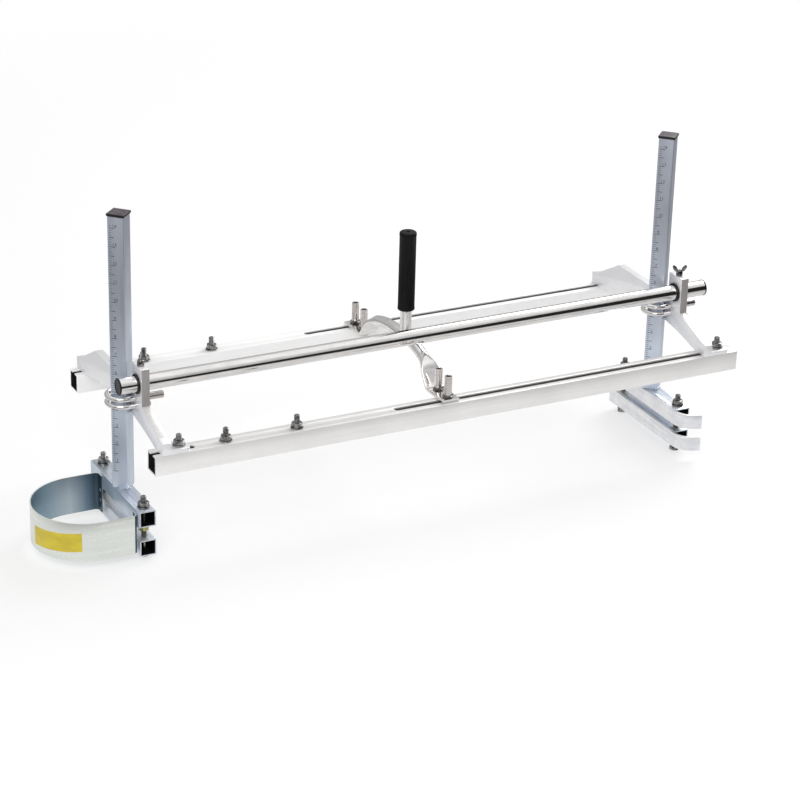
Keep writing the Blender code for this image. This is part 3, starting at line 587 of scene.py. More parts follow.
def hand_over(obj, name, body, replaced=(), angle=32.0):
    """Name a finished piece, smooth it, tie it to its body, and hide the CAD nodes that it replaces."""
    select_only(obj)
    bpy.ops.object.shade_smooth_by_angle(angle=math.radians(angle))
    obj.name = name
    obj.data.name = name
    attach(obj, body)
    if replaced:
        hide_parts(*replaced)
    return obj


def put_copy(model, place, turn, finish, name, body, nodes=()):
    """Copy a model to its place, paint the copy and hand it over."""
    return hand_over(paint(copy_of(model, place, turn), finish), name, body, nodes)


def about_z(degrees):
    return Matrix.Rotation(math.radians(degrees), 4, "Z")


def dressed_copy(node, edge, segments=2):
    """A merged copy of a CAD node with rounded edges."""
    source = frame["nodes"][node]
    obj = source.copy()
    obj.data = source.data.copy()
    bpy.context.scene.collection.objects.link(obj)
    obj.parent = None
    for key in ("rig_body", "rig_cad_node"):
        if key in obj:
            del obj[key]
    select_only(obj)
    if obj.data.has_custom_normals:
        bpy.ops.mesh.customdata_custom_splitnormals_clear()
    edit_mesh()
    bpy.ops.mesh.remove_doubles(threshold=0.00001)
    select_mesh()
    bpy.ops.mesh.dissolve_limited(angle_limit=math.radians(1.0))
    leave_mesh()
    if edge:
        round_edges(obj, edge, segments)
    return obj


def hexagon_nut(across, height, bore=None):
    """A hexagon with both rims turned to a chamfer and, for a nut, a countersunk hole."""
    clear_selection()
    corner = across / math.sqrt(3.0)
    bpy.ops.mesh.primitive_cylinder_add(vertices=6, radius=corner, depth=height, location=(0.0, 0.0, height / 2.0))
    nut = bpy.context.object
    apply_transform()
    cut = (corner - across * 0.47) * 0.5
    envelope = lathe([
        (across * 0.47, 0.0), (corner * 1.01, cut), (corner * 1.01, height - cut), (across * 0.47, height),
    ], 48)
    carve(nut, envelope, "INTERSECT")
    if bore:
        hole = lathe([
            (bore * 1.35, -0.001), (bore * 1.15, 0.0), (bore, bore * 0.15), (bore, height - bore * 0.15),
            (bore * 1.15, height), (bore * 1.35, height + 0.001),
        ], 32)
        carve(nut, hole)
    return nut


def hollow_round(outer, inner, length, edge, sides):
    """A washer or tube that stands on Z = 0, with its outer rims chamfered."""
    return lathe([
        (inner, 0.0), (outer - edge, 0.0), (outer, edge), (outer, length - edge), (outer - edge, length),
        (inner, length), (inner, 0.0),
    ], sides, ring=True)


def washer(outer, inner, thick):
    return hollow_round(outer, inner, thick, thick * 0.2, 40)


def square_pipe(side, length, wall, corner=0.0012):
    """A rolled square tube that stands on Z = 0. Its inner wall takes the second material."""
    clear_selection()
    bpy.ops.mesh.primitive_plane_add(size=side)
    obj = bpy.context.object
    edit_mesh()
    bpy.ops.mesh.bevel(offset=corner, segments=5, affect="VERTICES")
    bpy.ops.mesh.delete(type="ONLY_FACE")
    select_mesh()
    push(z=length)
    face_out()
    obj.data.materials.append(None)
    obj.data.materials.append(None)
    # The inner shell takes the second material: mill oxide with painted shade.
    apply_modifier(obj, "SOLIDIFY", thickness=wall, offset=-1.0, use_even_offset=True, material_offset=1,
                   material_offset_rim=0)
    return round_edges(obj, 0.0003, 2, 50.0)


# ---------------------------------------------------------------- pieces


def make_rails():
    for rail in ("front", "rear"):
        obj = dressed_copy(rail + "_rail", 0.0005)
        low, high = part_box(rail + "_rail")
        inside = RAIL_SIDE / 2.0 - 0.0012
        middle = (low + high) / 2.0
        # The rear rail takes a paler, duller copy of the rail metal: a painted highlight for a far rail lit to white.
        paint(obj, "extruded" if rail == "front" else "pale", "inside")
        # Faces inside the rail take the painted shade.
        for face in obj.data.polygons:
            away = face.center - middle
            if max(abs(away.y), abs(away.z)) < inside and abs(away.x) < (high.x - low.x) / 2.0 - 0.0005:
                face.material_index = 1
        hand_over(obj, rail + "_rail_extrusion", "frame", [rail + "_rail"])


def make_brackets():
    for side in SIDES:
        obj = dressed_copy(side + "_bracket", 0.0006)
        paint(obj, "machined", "sawn", "lit_sawn")
        for face in obj.data.polygons:
            block = face.center.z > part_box(side + "_bracket")[0].z + 0.030
            if block and face.normal.y < -0.9 and face.area > 0.00001:
                face.material_index = 1
            # Up-facing cut edges on the arms take the sawn edge's painted highlight.
            elif abs(face.normal.y) > 0.3 and face.normal.z > 0.3:
                face.material_index = 2
        hand_over(obj, side + "_bracket_casting", CARRIERS[side], [side + "_bracket"])


def make_cross_tube():
    inner = TUBE_RADIUS - 0.0012
    tube = hollow_round(TUBE_RADIUS, inner, TUBE_LENGTH, 0.0003, 96)
    settle(tube, spot(TUBE_START, TUBE_Y, TUBE_Z), (0.0, QUARTER_TURN, 0.0))
    hand_over(paint(tube, "chrome"), "cross_tube_chromed", "cross_tube", ["cross_tube"])
    lip = TUBE_RADIUS + 0.0005
    plug = lathe([
        (inner - 0.0005, 0.012), (inner - 0.0003, 0.011), (inner - 0.0003, -0.0003), (lip, -0.0003), (lip, -0.0012),
        (lip - 0.0006, -0.0018), (lip * 0.86, -0.0019), (lip * 0.80, -0.0014), (lip * 0.2, -0.0012),
    ], 64)
    ends = {"left": (TUBE_START, QUARTER_TURN), "right": (TUBE_START + TUBE_LENGTH, -QUARTER_TURN)}
    for side, (x, turn) in ends.items():
        twin = copy_of(plug)
        settle(twin, spot(x, TUBE_Y, TUBE_Z), (0.0, turn, 0.0))
        hand_over(paint(twin, "nylon"), side + "_end_plug", "cross_tube", [side + "_tube_plug"])
    discard(plug)


def make_bushes():
    bore, spigot, flange = 0.0114, 0.0125, 0.0135
    bush = lathe([
        (bore, 0.0022), (bore, -0.0024), (bore + 0.0004, -0.0028), (flange - 0.0005, -0.0028), (flange, -0.0023),
        (flange, -0.0003), (spigot, -0.0003), (spigot, 0.0022), (bore, 0.0022),
    ], 64, ring=True)
    for side, x in SIDES.items():
        twin = copy_of(bush)
        settle(twin, spot(x + PLATE_FRONT, TUBE_Y, TUBE_Z), (0.0, QUARTER_TURN, 0.0))
        hand_over(paint(twin, "nylon"), side + "_flanged_bush", CARRIERS[side], [side + "_tube_bush"])
    discard(bush)


def slot_bolt(seat, stud):
    """A bolt with its head in the rail, a washer and nut on a seat above the slot, and stud metres of rod above."""
    flat = settle(washer(*M8_WASHER), (0.0, 0.0, seat + GAP))
    nut_seat = seat + GAP + M8_WASHER[2]
    nut = settle(hexagon_nut(*M8_NUT), (0.0, 0.0, nut_seat))
    top = nut_seat + M8_NUT[1] + stud
    shank = lathe([(0.0036, SLOT_ROOF - 0.0005), (0.0037, seat)]
                  + thread_profile(M8_ROD, seat + 0.0005, top - 0.0006), 28)
    head = settle(hexagon_nut(*M8_HEAD), (0.0, 0.0, SLOT_ROOF - M8_HEAD[1]))
    return join([nut, flat, shank, head])


def make_foot_bolts():
    model = slot_bolt(FOOT_TOP, 0.008)
    for side, x in SIDES.items():
        for number, (rail, y) in enumerate(RAIL_MIDDLES.items()):
            node = side + "_" + rail + "_foot_bolt"
            put_copy(model, spot(x + FOOT_BOLT, y, 0.0), about_z(17.0 + 23.0 * number), "fastener",
                     node + "_threaded", CARRIERS[side], [node])
    discard(model)


def make_spare_bolts():
    model = slot_bolt(RAIL_SIDE, 0.0108)
    for rail, y in RAIL_MIDDLES.items():
        for number, x in enumerate(SPARE_BOLTS, 1):
            node = rail + "_rail_bolt_" + str(number)
            put_copy(model, spot(x, y, 0.0), about_z(31.0 * number + y * 100.0), "fastener",
                     node + "_threaded", "frame", [node])
    discard(model)


def make_u_bolts():
    far, sleeve_length = 0.0319, 0.028
    bolt = start_loop("circle", vertices=28, radius=U_ROD, location=(far, U_PITCH, 0.0),
                      rotation=(0.0, QUARTER_TURN, 0.0))
    push(x=-far)
    swing(HALF_TURN, (0.0, 0.0, 0.0), 40)
    push(x=far)
    close_mesh()
    low = min(vert.co.x for vert in bolt.data.vertices)
    if low > -U_PITCH:
        raise RuntimeError("the U-bolt bends the wrong way")
    nut = settle(hexagon_nut(0.0100, 0.005, U_ROD + 0.0002), turn=(0.0, QUARTER_TURN, 0.0))
    bore, rim = U_ROD + GAP, 0.0051
    sleeve = lathe([
        (bore, 0.0006), (bore + 0.0005, 0.0), (rim - 0.0005, 0.0), (rim, 0.0005), (rim, sleeve_length - 0.0005),
        (rim - 0.0005, sleeve_length), (bore + 0.0005, sleeve_length), (bore, sleeve_length - 0.0006), (bore, 0.0006),
    ], 40, ring=True)
    settle(sleeve, turn=(0.0, QUARTER_TURN, 0.0))
    for side, x in SIDES.items():
        for level, z in U_BOLT_LEVELS.items():
            node = side + "_" + level + "_u_bolt"
            put_copy(bolt, spot(x, POST_Y, z), None, "chrome", node + "_rod", CARRIERS[side], [node])
            model, finish = (sleeve, "turned") if level == "upper" else (nut, "fastener")
            for end, way in (("front", -1.0), ("rear", 1.0)):
                node = "_".join((side, level, end, "u_nut"))
                put_copy(model, spot(x + PLATE_BACK + GAP, POST_Y + way * U_PITCH, z), None, finish,
                         node + "_turned", CARRIERS[side], [node])
    discard(bolt, nut, sleeve)


def make_wing_screws():
    hub = lathe([(0.0044, 0.0), (0.0048, 0.0004), (0.0047, 0.004), (0.0041, 0.0071), (0.0035, 0.0075)], 32)
    rod = lathe([(0.0024, -0.0138)] + thread_profile(0.0029, -0.0136, 0.0002, 0.001), 24)
    parts = [hub, rod]
    for way in (-1.0, 1.0):
        clear_selection()
        bpy.ops.mesh.primitive_cylinder_add(vertices=28, radius=0.0028, depth=0.0020)
        ear = bpy.context.object
        edit_mesh()
        bpy.ops.transform.resize(value=(1.0, 2.0, 1.0))
        leave_mesh()
        round_edges(ear, 0.0007, 3)
        settle(ear, turn=(QUARTER_TURN, 0.0, 0.0))
        settle(ear, (way * 0.0066, 0.0, 0.0104), (0.0, way * math.radians(33.0), 0.0))
        parts.append(ear)
    model = join(parts)
    middle = (PLATE_FRONT + PLATE_BACK) / 2.0
    for side, degrees in {"left": 65.0, "right": -20.0}.items():
        node = side + "_wing_screw"
        put_copy(model, spot(SIDES[side] + middle, TUBE_Y, BLOCK_TOP + GAP), about_z(degrees), "fastener",
                 node + "_forged", node, [node])
    discard(model)


def scale_marks(side):
    """Etched lines every eighth of an inch, with a plain number at each inch, on the post's left face."""
    inch, depth, left = 0.0254, 0.00012, -POST_SIDE / 2.0
    marks = []
    count = int((POST_LENGTH - 0.02) / inch * 8.0)
    for i in range(4, count):
        length = 0.0085 if i % 8 == 0 else 0.0072 if i % 4 == 0 else 0.0036
        z = 0.012 + i * inch / 8.0
        thickness = 0.0008 if i % 4 == 0 else 0.0005
        marks.append(make_block((length, depth, thickness), (left + 0.0022 + length / 2.0, 0.0, z)))
        if i % 8 == 0:
            clear_selection()
            bpy.ops.object.text_add(rotation=(QUARTER_TURN, 0.0, 0.0))
            text = bpy.context.object
            text.data.body = str(i // 8)
            text.data.size = 0.0062
            text.data.extrude = depth / 2.0
            text.data.resolution_u = 3
            text.location = (left + 0.0068, 0.0, z + 0.0012)
            bpy.ops.object.convert(target="MESH")
            apply_transform()
            text = bpy.context.object
            edit_mesh()
            bpy.ops.mesh.remove_doubles(threshold=0.000005)
            face_out()
            marks.append(text)
    scale = join(marks)
    shift(scale, (0.0, left, 0.0))
    settle(scale, spot(SIDES[side], POST_Y, POST_FOOT), (0.0, 0.0, -QUARTER_TURN / 2.0))
    hand_over(paint(scale, "mark"), side + "_post_scale", side + "_post_set")


def make_posts():
    post = square_pipe(POST_SIDE, POST_LENGTH, PIPE_WALL)
    cap = make_block((0.0249, 0.0249, 0.0037), (0.0, 0.0, 0.00215))
    bpy.ops.object.mode_set(mode="EDIT")
    bpy.ops.mesh.select_mode(type="FACE")
    bpy.ops.mesh.select_all(action="DESELECT")
    shape = bmesh.from_edit_mesh(cap.data)
    for face in shape.faces:
        face.select_set(face.normal.z < -0.9)
    bmesh.update_edit_mesh(cap.data)
    bpy.ops.mesh.inset(thickness=0.0029)
    push(z=-0.0140)
    bpy.ops.mesh.select_mode(type="VERT")
    leave_mesh()
    round_edges(cap, 0.0011, 4)
    for side, x in SIDES.items():
        body = side + "_post_set"
        twin = copy_of(post)
        settle(twin, spot(x, POST_Y, POST_FOOT), (0.0, 0.0, QUARTER_TURN / 2.0))
        hand_over(paint(twin, "post", "scale"), side + "_post_tube", body, [side + "_post"])
        twin = copy_of(cap)
        settle(twin, spot(x, POST_Y, POST_FOOT + POST_LENGTH), (0.0, 0.0, QUARTER_TURN / 2.0))
        # The crown's top faces take the second finish, a painted sheen.
        paint(twin, "nylon", "worn")
        for face in twin.data.polygons:
            face.material_index = 1 if face.normal.z > 0.9 else 0
        hand_over(twin, side + "_cap_moulding", body, [side + "_post_cap"])
        scale_marks(side)
    discard(post, cap)


def make_clamp_tubes():
    pipe = square_pipe(CLAMP_SIDE, CLAMP_LENGTH, PIPE_WALL)
    settle(pipe, (0.0, CLAMP_START, 0.0), (-QUARTER_TURN, 0.0, 0.0))
    for y in CLAMP_BOLTS.values():
        carve(pipe, settle(lathe([(0.0044, -0.02), (0.0044, 0.02)], 32), (0.0, y, 0.0)))
    for side, x in SIDES.items():
        for level, under in CLAMP_UNDER.items():
            lift = RIGHT_JAW_LIFT if (side, level) == ("right", "lower") else 0.0
            body = side + ("_post_set" if level == "upper" else "_jaw")
            node = side + "_" + level + "_clamp_tube"
            twin = copy_of(pipe, spot(x, 0.0, under + lift + CLAMP_SIDE / 2.0))
            hand_over(paint(twin, "clamp", "scale"), node + "_rolled", body, [node])
    discard(pipe)


def make_clamp_bolts():
    under, over = CLAMP_UNDER["upper"] - GAP, CLAMP_UNDER["upper"] + CLAMP_SIDE + GAP
    floor = -0.1334  # under the bolts' heads, the lowest point of the whole
    for side, x in SIDES.items():
        head = settle(hexagon_nut(M8_NUT[0], 0.0053), (0.0, 0.0, floor))
        rod = lathe([(0.0038, floor + 0.005), (M8_ROD, floor + 0.0055)]
                    + thread_profile(M8_ROD, floor + 0.02, over + 0.0155), 28)
        flat = settle(washer(*M8_WASHER), (0.0, 0.0, over))
        nut = settle(hexagon_nut(*M8_NUT), (0.0, 0.0, over + M8_WASHER[2]))
        lock = hexagon_nut(M8_NUT[0], LOCK_NUT[side], M8_ROD)
        settle(lock, (0.0, 0.0, under - LOCK_NUT[side]), (0.0, 0.0, 0.4))
        plain = join([rod, head, flat, nut])
        for number, (end, y) in enumerate(CLAMP_BOLTS.items()):
            turn, body = about_z(11.0 + 19.0 * number), side + "_post_set"
            node = side + "_" + end + "_clamp_bolt"
            put_copy(plain, spot(x, y, 0.0), turn, "fastener", node + "_threaded", body, [node])
            put_copy(lock, spot(x, y, 0.0), turn, "yellow", side + "_" + end + "_lock_nut", body)
        discard(plain, lock)


def make_guard():
    """Bend a sheet strip from the near tab, round the nose and back to the far tab."""
    top = CLAMP_UNDER["upper"] + CLAMP_SIDE - GUARD_DROP
    radius = GUARD_RADIUS - SHEET / 2.0
    near, far = GUARD_Y - radius, GUARD_Y + radius
    tab, bend = GUARD_X + GUARD_STRAIGHT - SHEET / 2.0, 0.0060
    middle = top - GUARD_HEIGHT / 2.0
    guard = start_loop("plane", location=(tab, near + GUARD_TAB, middle), rotation=(QUARTER_TURN, 0.0, 0.0),
                       scale=(SHEET, GUARD_HEIGHT, 1.0))
    push(y=bend - GUARD_TAB)
    swing(-QUARTER_TURN, (tab - bend, near + bend, 0.0), 8)
    push(x=GUARD_X - tab + bend)
    swing(-HALF_TURN, (GUARD_X, GUARD_Y, 0.0), 96)
    push(x=tab - bend - GUARD_X)
    swing(-QUARTER_TURN, (tab - bend, far - bend, 0.0), 8)
    push(y=bend - GUARD_TAB)
    close_mesh()
    round_edges(guard, 0.0003, 2, 60.0)
    paint(guard, "sheet", "shaded")
    centre = Vector((GUARD_X, GUARD_Y, 0.0))
    # The guard's inward faces take the painted shade.
    for face in guard.data.polygons:
        away = face.center - centre
        away.z = 0.0
        inward = away.length < radius and face.center.x < GUARD_X or (
            face.center.x >= GUARD_X and abs(away.y) < radius and face.center.x < tab)
        if inward and abs(face.normal.z) < 0.3:
            face.material_index = 1
    shift(guard, RAIL_CORNER)
    hand_over(guard, "nose_guard_band", "left_post_set", ["nose_guard"])

    plate = dressed_copy("guard_back_plate", 0.0003)
    hand_over(paint(plate, "post"), "guard_back_strip", "left_post_set", ["guard_back_plate"])

    rivet = lathe([(0.0024, 0.0), (0.0024, 0.0003), (0.0020, 0.0008), (0.0011, 0.0011)], 24)
    settle(rivet, turn=(0.0, -QUARTER_TURN, 0.0))
    rivets = []
    for y in (near + 0.009, far - 0.009):
        for z in (-0.0900, -0.1050):
            rivets.append(copy_of(rivet, spot(tab - SHEET / 2.0, y, z)))
    discard(rivet)
    hand_over(paint(join(rivets), "weld"), "guard_rivets", "left_post_set")


def make_label():
    """A thin film bent to the guard's outer face, and a little askew: its far end sits higher by tilt."""
    low, high, tilt, film = -0.1107, -0.0840, 0.0062, 0.00016
    outer = GUARD_RADIUS + 0.00004
    start, end = math.radians(184.5), math.radians(246.0)
    place = (GUARD_X + outer * math.cos(start), GUARD_Y + outer * math.sin(start), (low + high) / 2.0)
    label = start_loop("plane", location=place, rotation=(QUARTER_TURN, 0.0, start), scale=(film, high - low, 1.0))
    swing(end - start, (GUARD_X, GUARD_Y, 0.0), 40)
    close_mesh()
    for vertex in label.data.vertices:
        turn = math.atan2(vertex.co.y - GUARD_Y, vertex.co.x - GUARD_X) % (2.0 * math.pi)
        vertex.co.z += tilt * ((turn - start) / (end - start) - 0.5)
    shift(label, RAIL_CORNER)
    hand_over(paint(label, "label"), "guard_label", "left_post_set")


def make_skids():
    radius = SKID_BEND + SKID_THICK / 2.0
    x = SHEET_FACE - SKID_THICK / 2.0
    angle = math.radians(72.0)
    for level, under in CLAMP_UNDER.items():
        lift = RIGHT_JAW_LIFT if level == "lower" else 0.0
        middle = under + lift + CLAMP_SIDE / 2.0
        skid = start_loop("plane", location=(x, CLAMP_START + CLAMP_LENGTH, middle), rotation=(QUARTER_TURN, 0.0, 0.0),
                          scale=(SKID_THICK, SKID_HEIGHT, 1.0))
        push(y=-CLAMP_LENGTH)
        swing(angle, (x + radius, CLAMP_START, 0.0), 24)
        heading = angle - QUARTER_TURN
        push(x=SKID_TIP * math.cos(heading), y=SKID_TIP * math.sin(heading))
        close_mesh()
        round_edges(skid, 0.0006, 3, 50.0)
        shift(skid, spot(SIDES["right"], 0.0, 0.0))
        body = "right_post_set" if level == "upper" else "right_jaw"
        hand_over(paint(skid, "skid"), level + "_skid_strip", body, [level + "_skid"])


def arch_line(y):
    """Height and slope of the arch's bow, which is level over its middle."""
    away = max(0.0, abs(FRAME_DEPTH / 2.0 - y) - 0.018)
    side = math.sqrt(ARCH_RADIUS ** 2 - away ** 2)
    return ARCH_TOP - ARCH_RADIUS + side, away / side


def arch_stations():
    """(Y, height, slope angle, roundness) along half of the arch, from the front end to the middle.
    The strap lies flat up to start, and sweeps up to meet the bow at end."""
    flat = RAIL_TOP + STRAP_THICK
    start, end, steps = 0.050, 0.074, 24
    stations = [(0.0042, flat, 0.0, 0.0), (start, flat, 0.0, 0.0)]
    end_z, end_slope = arch_line(end)
    run = end - start

    def station(y, z, slope):
        return y, z, math.atan(slope), min(1.0, max(0.0, (y - 0.068) / 0.016))

    for i in range(1, steps + 1):
        t = i / steps
        y = start + run * t
        z = flat + (end_z - flat) * (3.0 * t * t - 2.0 * t ** 3) + end_slope * run * (t ** 3 - t * t)
        slope = (end_z - flat) * (6.0 * t - 6.0 * t * t) / run + end_slope * (3.0 * t * t - 2.0 * t)
        stations.append(station(y, z, slope))
    for i in range(1, steps + 1):
        y = end + (FRAME_DEPTH / 2.0 - end) * i / steps
        stations.append(station(y, *arch_line(y)))
    return stations


def make_arch(sides=40):
    """The tube's section goes from a pressed strap to round, which needs a ring for each station."""
    half = arch_stations()
    mirrored = [(FRAME_DEPTH - y, z, -turn, roundness) for y, z, turn, roundness in reversed(half[:-1])]
    shape = bmesh.new()
    rings = []
    for y, z, turn, roundness in half + mirrored:
        wide = STRAP_WIDE + (BOW_RADIUS - STRAP_WIDE) * roundness
        thick = STRAP_THICK + (BOW_RADIUS - STRAP_THICK) * roundness
        power = 0.30 + 0.70 * roundness ** 0.6
        ring = []
        for i in range(sides):
            a = 2.0 * math.pi * (i + 0.5) / sides
            across = wide * math.copysign(abs(math.cos(a)) ** power, math.cos(a))
            up = thick * math.copysign(abs(math.sin(a)) ** power, math.sin(a))
            ring.append(shape.verts.new((across, y - up * math.sin(turn), z + up * math.cos(turn))))
        rings.append(ring)
    for first, second in zip(rings, rings[1:]):
        for i in range(sides):
            j = (i + 1) % sides
            shape.faces.new((first[i], first[j], second[j], second[i]))
    shape.faces.new(rings[0])
    shape.faces.new(rings[-1])
    bmesh.ops.recalc_face_normals(shape, faces=shape.faces)
    mesh = bpy.data.meshes.new("handle_arch_bent")
    shape.to_mesh(mesh)
    shape.free()
    arch = bpy.data.objects.new("handle_arch_bent", mesh)
    bpy.context.scene.collection.objects.link(arch)
    shift(arch, spot(HANDLE_X, 0.0, 0.0))
    hand_over(paint(arch, "chrome"), "handle_arch_bent", "handle", ["handle_arch"], 40.0)


def make_handle():
    foot = ARCH_TOP + 0.0035
    roof = GRIP_TOP - 0.0033
    inner, start = BOW_RADIUS - 0.0012, foot - 0.006
    tube = lathe([(inner, start), (BOW_RADIUS, start), (BOW_RADIUS, roof - 0.0003), (BOW_RADIUS - 0.0003, roof),
                  (inner, roof), (inner, start)], 64, ring=True)
    saddle = lathe([(BOW_RADIUS + 0.0002, -0.02), (BOW_RADIUS + 0.0002, 0.02)], 48)
    carve(tube, settle(saddle, (0.0, 0.0, ARCH_TOP), (QUARTER_TURN, 0.0, 0.0)))
    select_only(tube)
    edit_mesh()
    bpy.ops.mesh.bisect(plane_co=(0.0, 0.0, ARCH_TOP), plane_no=(0.0, 0.0, 1.0), clear_inner=True, use_fill=False)
    leave_mesh()
    shift(tube, spot(HANDLE_X, HANDLE_Y, 0.0))
    hand_over(paint(tube, "chrome"), "handle_upright", "handle", ["handle_tube"])

    low = GRIP_TOP - GRIP_LENGTH
    grip = lathe([
        (0.0083, roof + 0.0001), (0.0083, low + 0.0006), (0.0088, low), (0.0108, low), (0.0117, low + 0.0004),
        (GRIP_RADIUS, low + 0.0014), (GRIP_RADIUS, low + 0.004), (GRIP_RADIUS - 0.0003, low + 0.0045),
        (GRIP_RADIUS - 0.0003, GRIP_TOP - 0.006), (GRIP_RADIUS, GRIP_TOP - 0.0055), (GRIP_RADIUS, GRIP_TOP - 0.003),
        (0.0117, GRIP_TOP - 0.0012), (0.0108, GRIP_TOP - 0.0003), (0.0095, GRIP_TOP), (0.0026, GRIP_TOP),
        (0.0020, GRIP_TOP - 0.0006), (0.0020, GRIP_TOP - 0.0022),
    ], 64)
    shift(grip, spot(HANDLE_X, HANDLE_Y, 0.0))
    hand_over(paint(grip, "rubber"), "handle_grip_sleeve", "handle", ["handle_grip"])


def make_sleeves():
    seat = RAIL_TOP + 2.0 * STRAP_THICK + GAP
    height, radius, hole = 0.0305, 0.0052, 0.0034
    body = lathe([
        (radius - 0.0005, 0.0), (radius, 0.0005), (radius, height - 0.0006), (radius - 0.0006, height),
        (hole + 0.0004, height), (hole, height - 0.0005), (hole, height - 0.011), (0.001, height - 0.012),
    ], 40)
    for rail, way in (("front", 1.0), ("rear", -1.0)):
        for number, place in enumerate(("slot", "side")):
            y = RAIL_MIDDLES[rail] + way * 0.028 * number
            node = "handle_" + rail + "_" + place + "_sleeve"
            under = SLOT_ROOF if place == "slot" else RAIL_SIDE
            head = settle(hexagon_nut(*M8_HEAD), (0.0, 0.0, under - M8_HEAD[1] - seat))
            rod = lathe([(0.0038, under - 0.0002 - seat), (0.0038, 0.0002)], 28)
            twin = join([copy_of(body), rod, head])
            shift(twin, spot(HANDLE_X, y, seat))
            hand_over(paint(twin, "turned"), node + "_turned", "handle", [node])
            foot = hexagon_nut(0.0136, 0.0028, radius + 0.0002)
            settle(foot, spot(HANDLE_X, y, seat), (0.0, 0.0, 0.3 + number))
            hand_over(paint(foot, "fastener"), node + "_foot", "handle")
    discard(body)


def make_welds():
    """Short beads round each post's foot, drawn as a row of flattened drops."""
    clear_selection()
    bpy.ops.mesh.primitive_ico_sphere_add(subdivisions=3, radius=0.0016)
    drop = bpy.context.object
    drop.scale = (1.0, 1.0, 0.62)
    apply_transform()
    edit_mesh()
    bpy.ops.mesh.bisect(plane_co=(0.0, 0.0, -0.0002), plane_no=(0.0, 0.0, 1.0), clear_inner=True, use_fill=True)
    leave_mesh()
    corner = POST_SIDE / math.sqrt(2.0)
    reach, pitch = corner * 0.62, 0.0015
    for side, x in SIDES.items():
        drops = []
        for way_x in (-1.0, 1.0):
            for way_y in (-1.0, 1.0):
                for i in (-2, -1, 0, 1, 2):
                    along_x, along_y = corner - reach + i * pitch, reach - i * pitch
                    drops.append(copy_of(drop, spot(x + way_x * along_x, POST_Y + way_y * along_y, POST_FOOT)))
        hand_over(paint(join(drops), "weld"), side + "_post_weld", side + "_post_set", (), 60.0)
    discard(drop)


# ---------------------------------------------------------------- stage


def make_floor():
    """White paper that glows a little for the camera, so that it melts into the background farther out.
    Bright metal sees it dimmer there, and otherwise it takes light and shadow as paper does."""
    clear_selection()
    bpy.ops.mesh.primitive_plane_add(size=30.0)
    floor = bpy.context.object
    floor.name = "studio_floor"
    material = bpy.data.materials.new("studio_paper")
    material.use_nodes = True
    tree = material.node_tree
    tree.nodes.clear()
    paper = add_node(tree, "BsdfDiffuse", {"Color": linear("#FBFBFB")})
    path = add_node(tree, "LightPath").outputs
    place = add_node(tree, "TexCoord").outputs["Object"]
    far = add_node(tree, "VectorMath", {0: place}, operation="LENGTH").outputs["Value"]
    dim = add_node(tree, "MapRange",
                   {"Value": far, "From Min": 0.6, "From Max": 1.2, "To Min": 0.76, "To Max": 0.34})
    dim = add_node(tree, "Math", {0: path["Is Camera Ray"], 1: dim.outputs[0]}, operation="MAXIMUM")
    glow = add_node(tree, "Emission", {"Strength": dim.outputs[0]})
    share = add_node(tree, "MapRange",
                     {"Value": far, "From Min": 0.9, "From Max": 2.4, "To Min": settings().floor_glow, "To Max": 1.0})
    share = add_node(tree, "Math", {0: path["Is Camera Ray"], 1: share.outputs[0]}, operation="MULTIPLY")
    seen = add_node(tree, "Math", {0: share.outputs[0], 1: path["Is Glossy Ray"]}, operation="MAXIMUM")
    mix = add_node(tree, "MixShader", {0: seen.outputs[0], 1: paper.outputs[0], 2: glow.outputs[0]})
    add_node(tree, "OutputMaterial", {"Surface": mix.outputs[0]})
    floor.data.materials.append(material)


def make_flag():
    """A black screen in front of the set, taller to the right, which only reflections see: it draws the dark
    line on bright metal."""
    look = settings()
    clear_selection()
    bpy.ops.mesh.primitive_cylinder_add(vertices=180, radius=look.flag_distance, depth=look.flag_high,
                                        end_fill_type="NOTHING", location=(0.0, 0.0, look.flag_high / 2.0))
    flag = bpy.context.object
    flag.name = "studio_flag"
    bpy.ops.object.transform_apply(location=True)
    bpy.ops.object.mode_set(mode="EDIT")
    cuts = [((0.0, 0.0, 0.0), (math.cos(angle), math.sin(angle), 0.0))
            for angle in (look.flag_start + QUARTER_TURN, look.flag_end - QUARTER_TURN)]
    cuts.append(((0.0, 0.0, look.flag_middle), (look.flag_slope, 0.0, -1.0)))
    for point, normal in cuts:
        select_mesh()
        bpy.ops.mesh.bisect(plane_co=point, plane_no=normal, clear_inner=True, use_fill=False)
    leave_mesh()
    material = bpy.data.materials.new("studio_black_cloth")
    material.use_nodes = True
    shader = material.node_tree.nodes["Principled BSDF"]
    shader.inputs["Base Color"].default_value = linear("#101010")
    shader.inputs["Roughness"].default_value = 1.0
    flag.data.materials.append(material)
    flag.visible_camera = False
    flag.visible_diffuse = False
    flag.visible_shadow = False


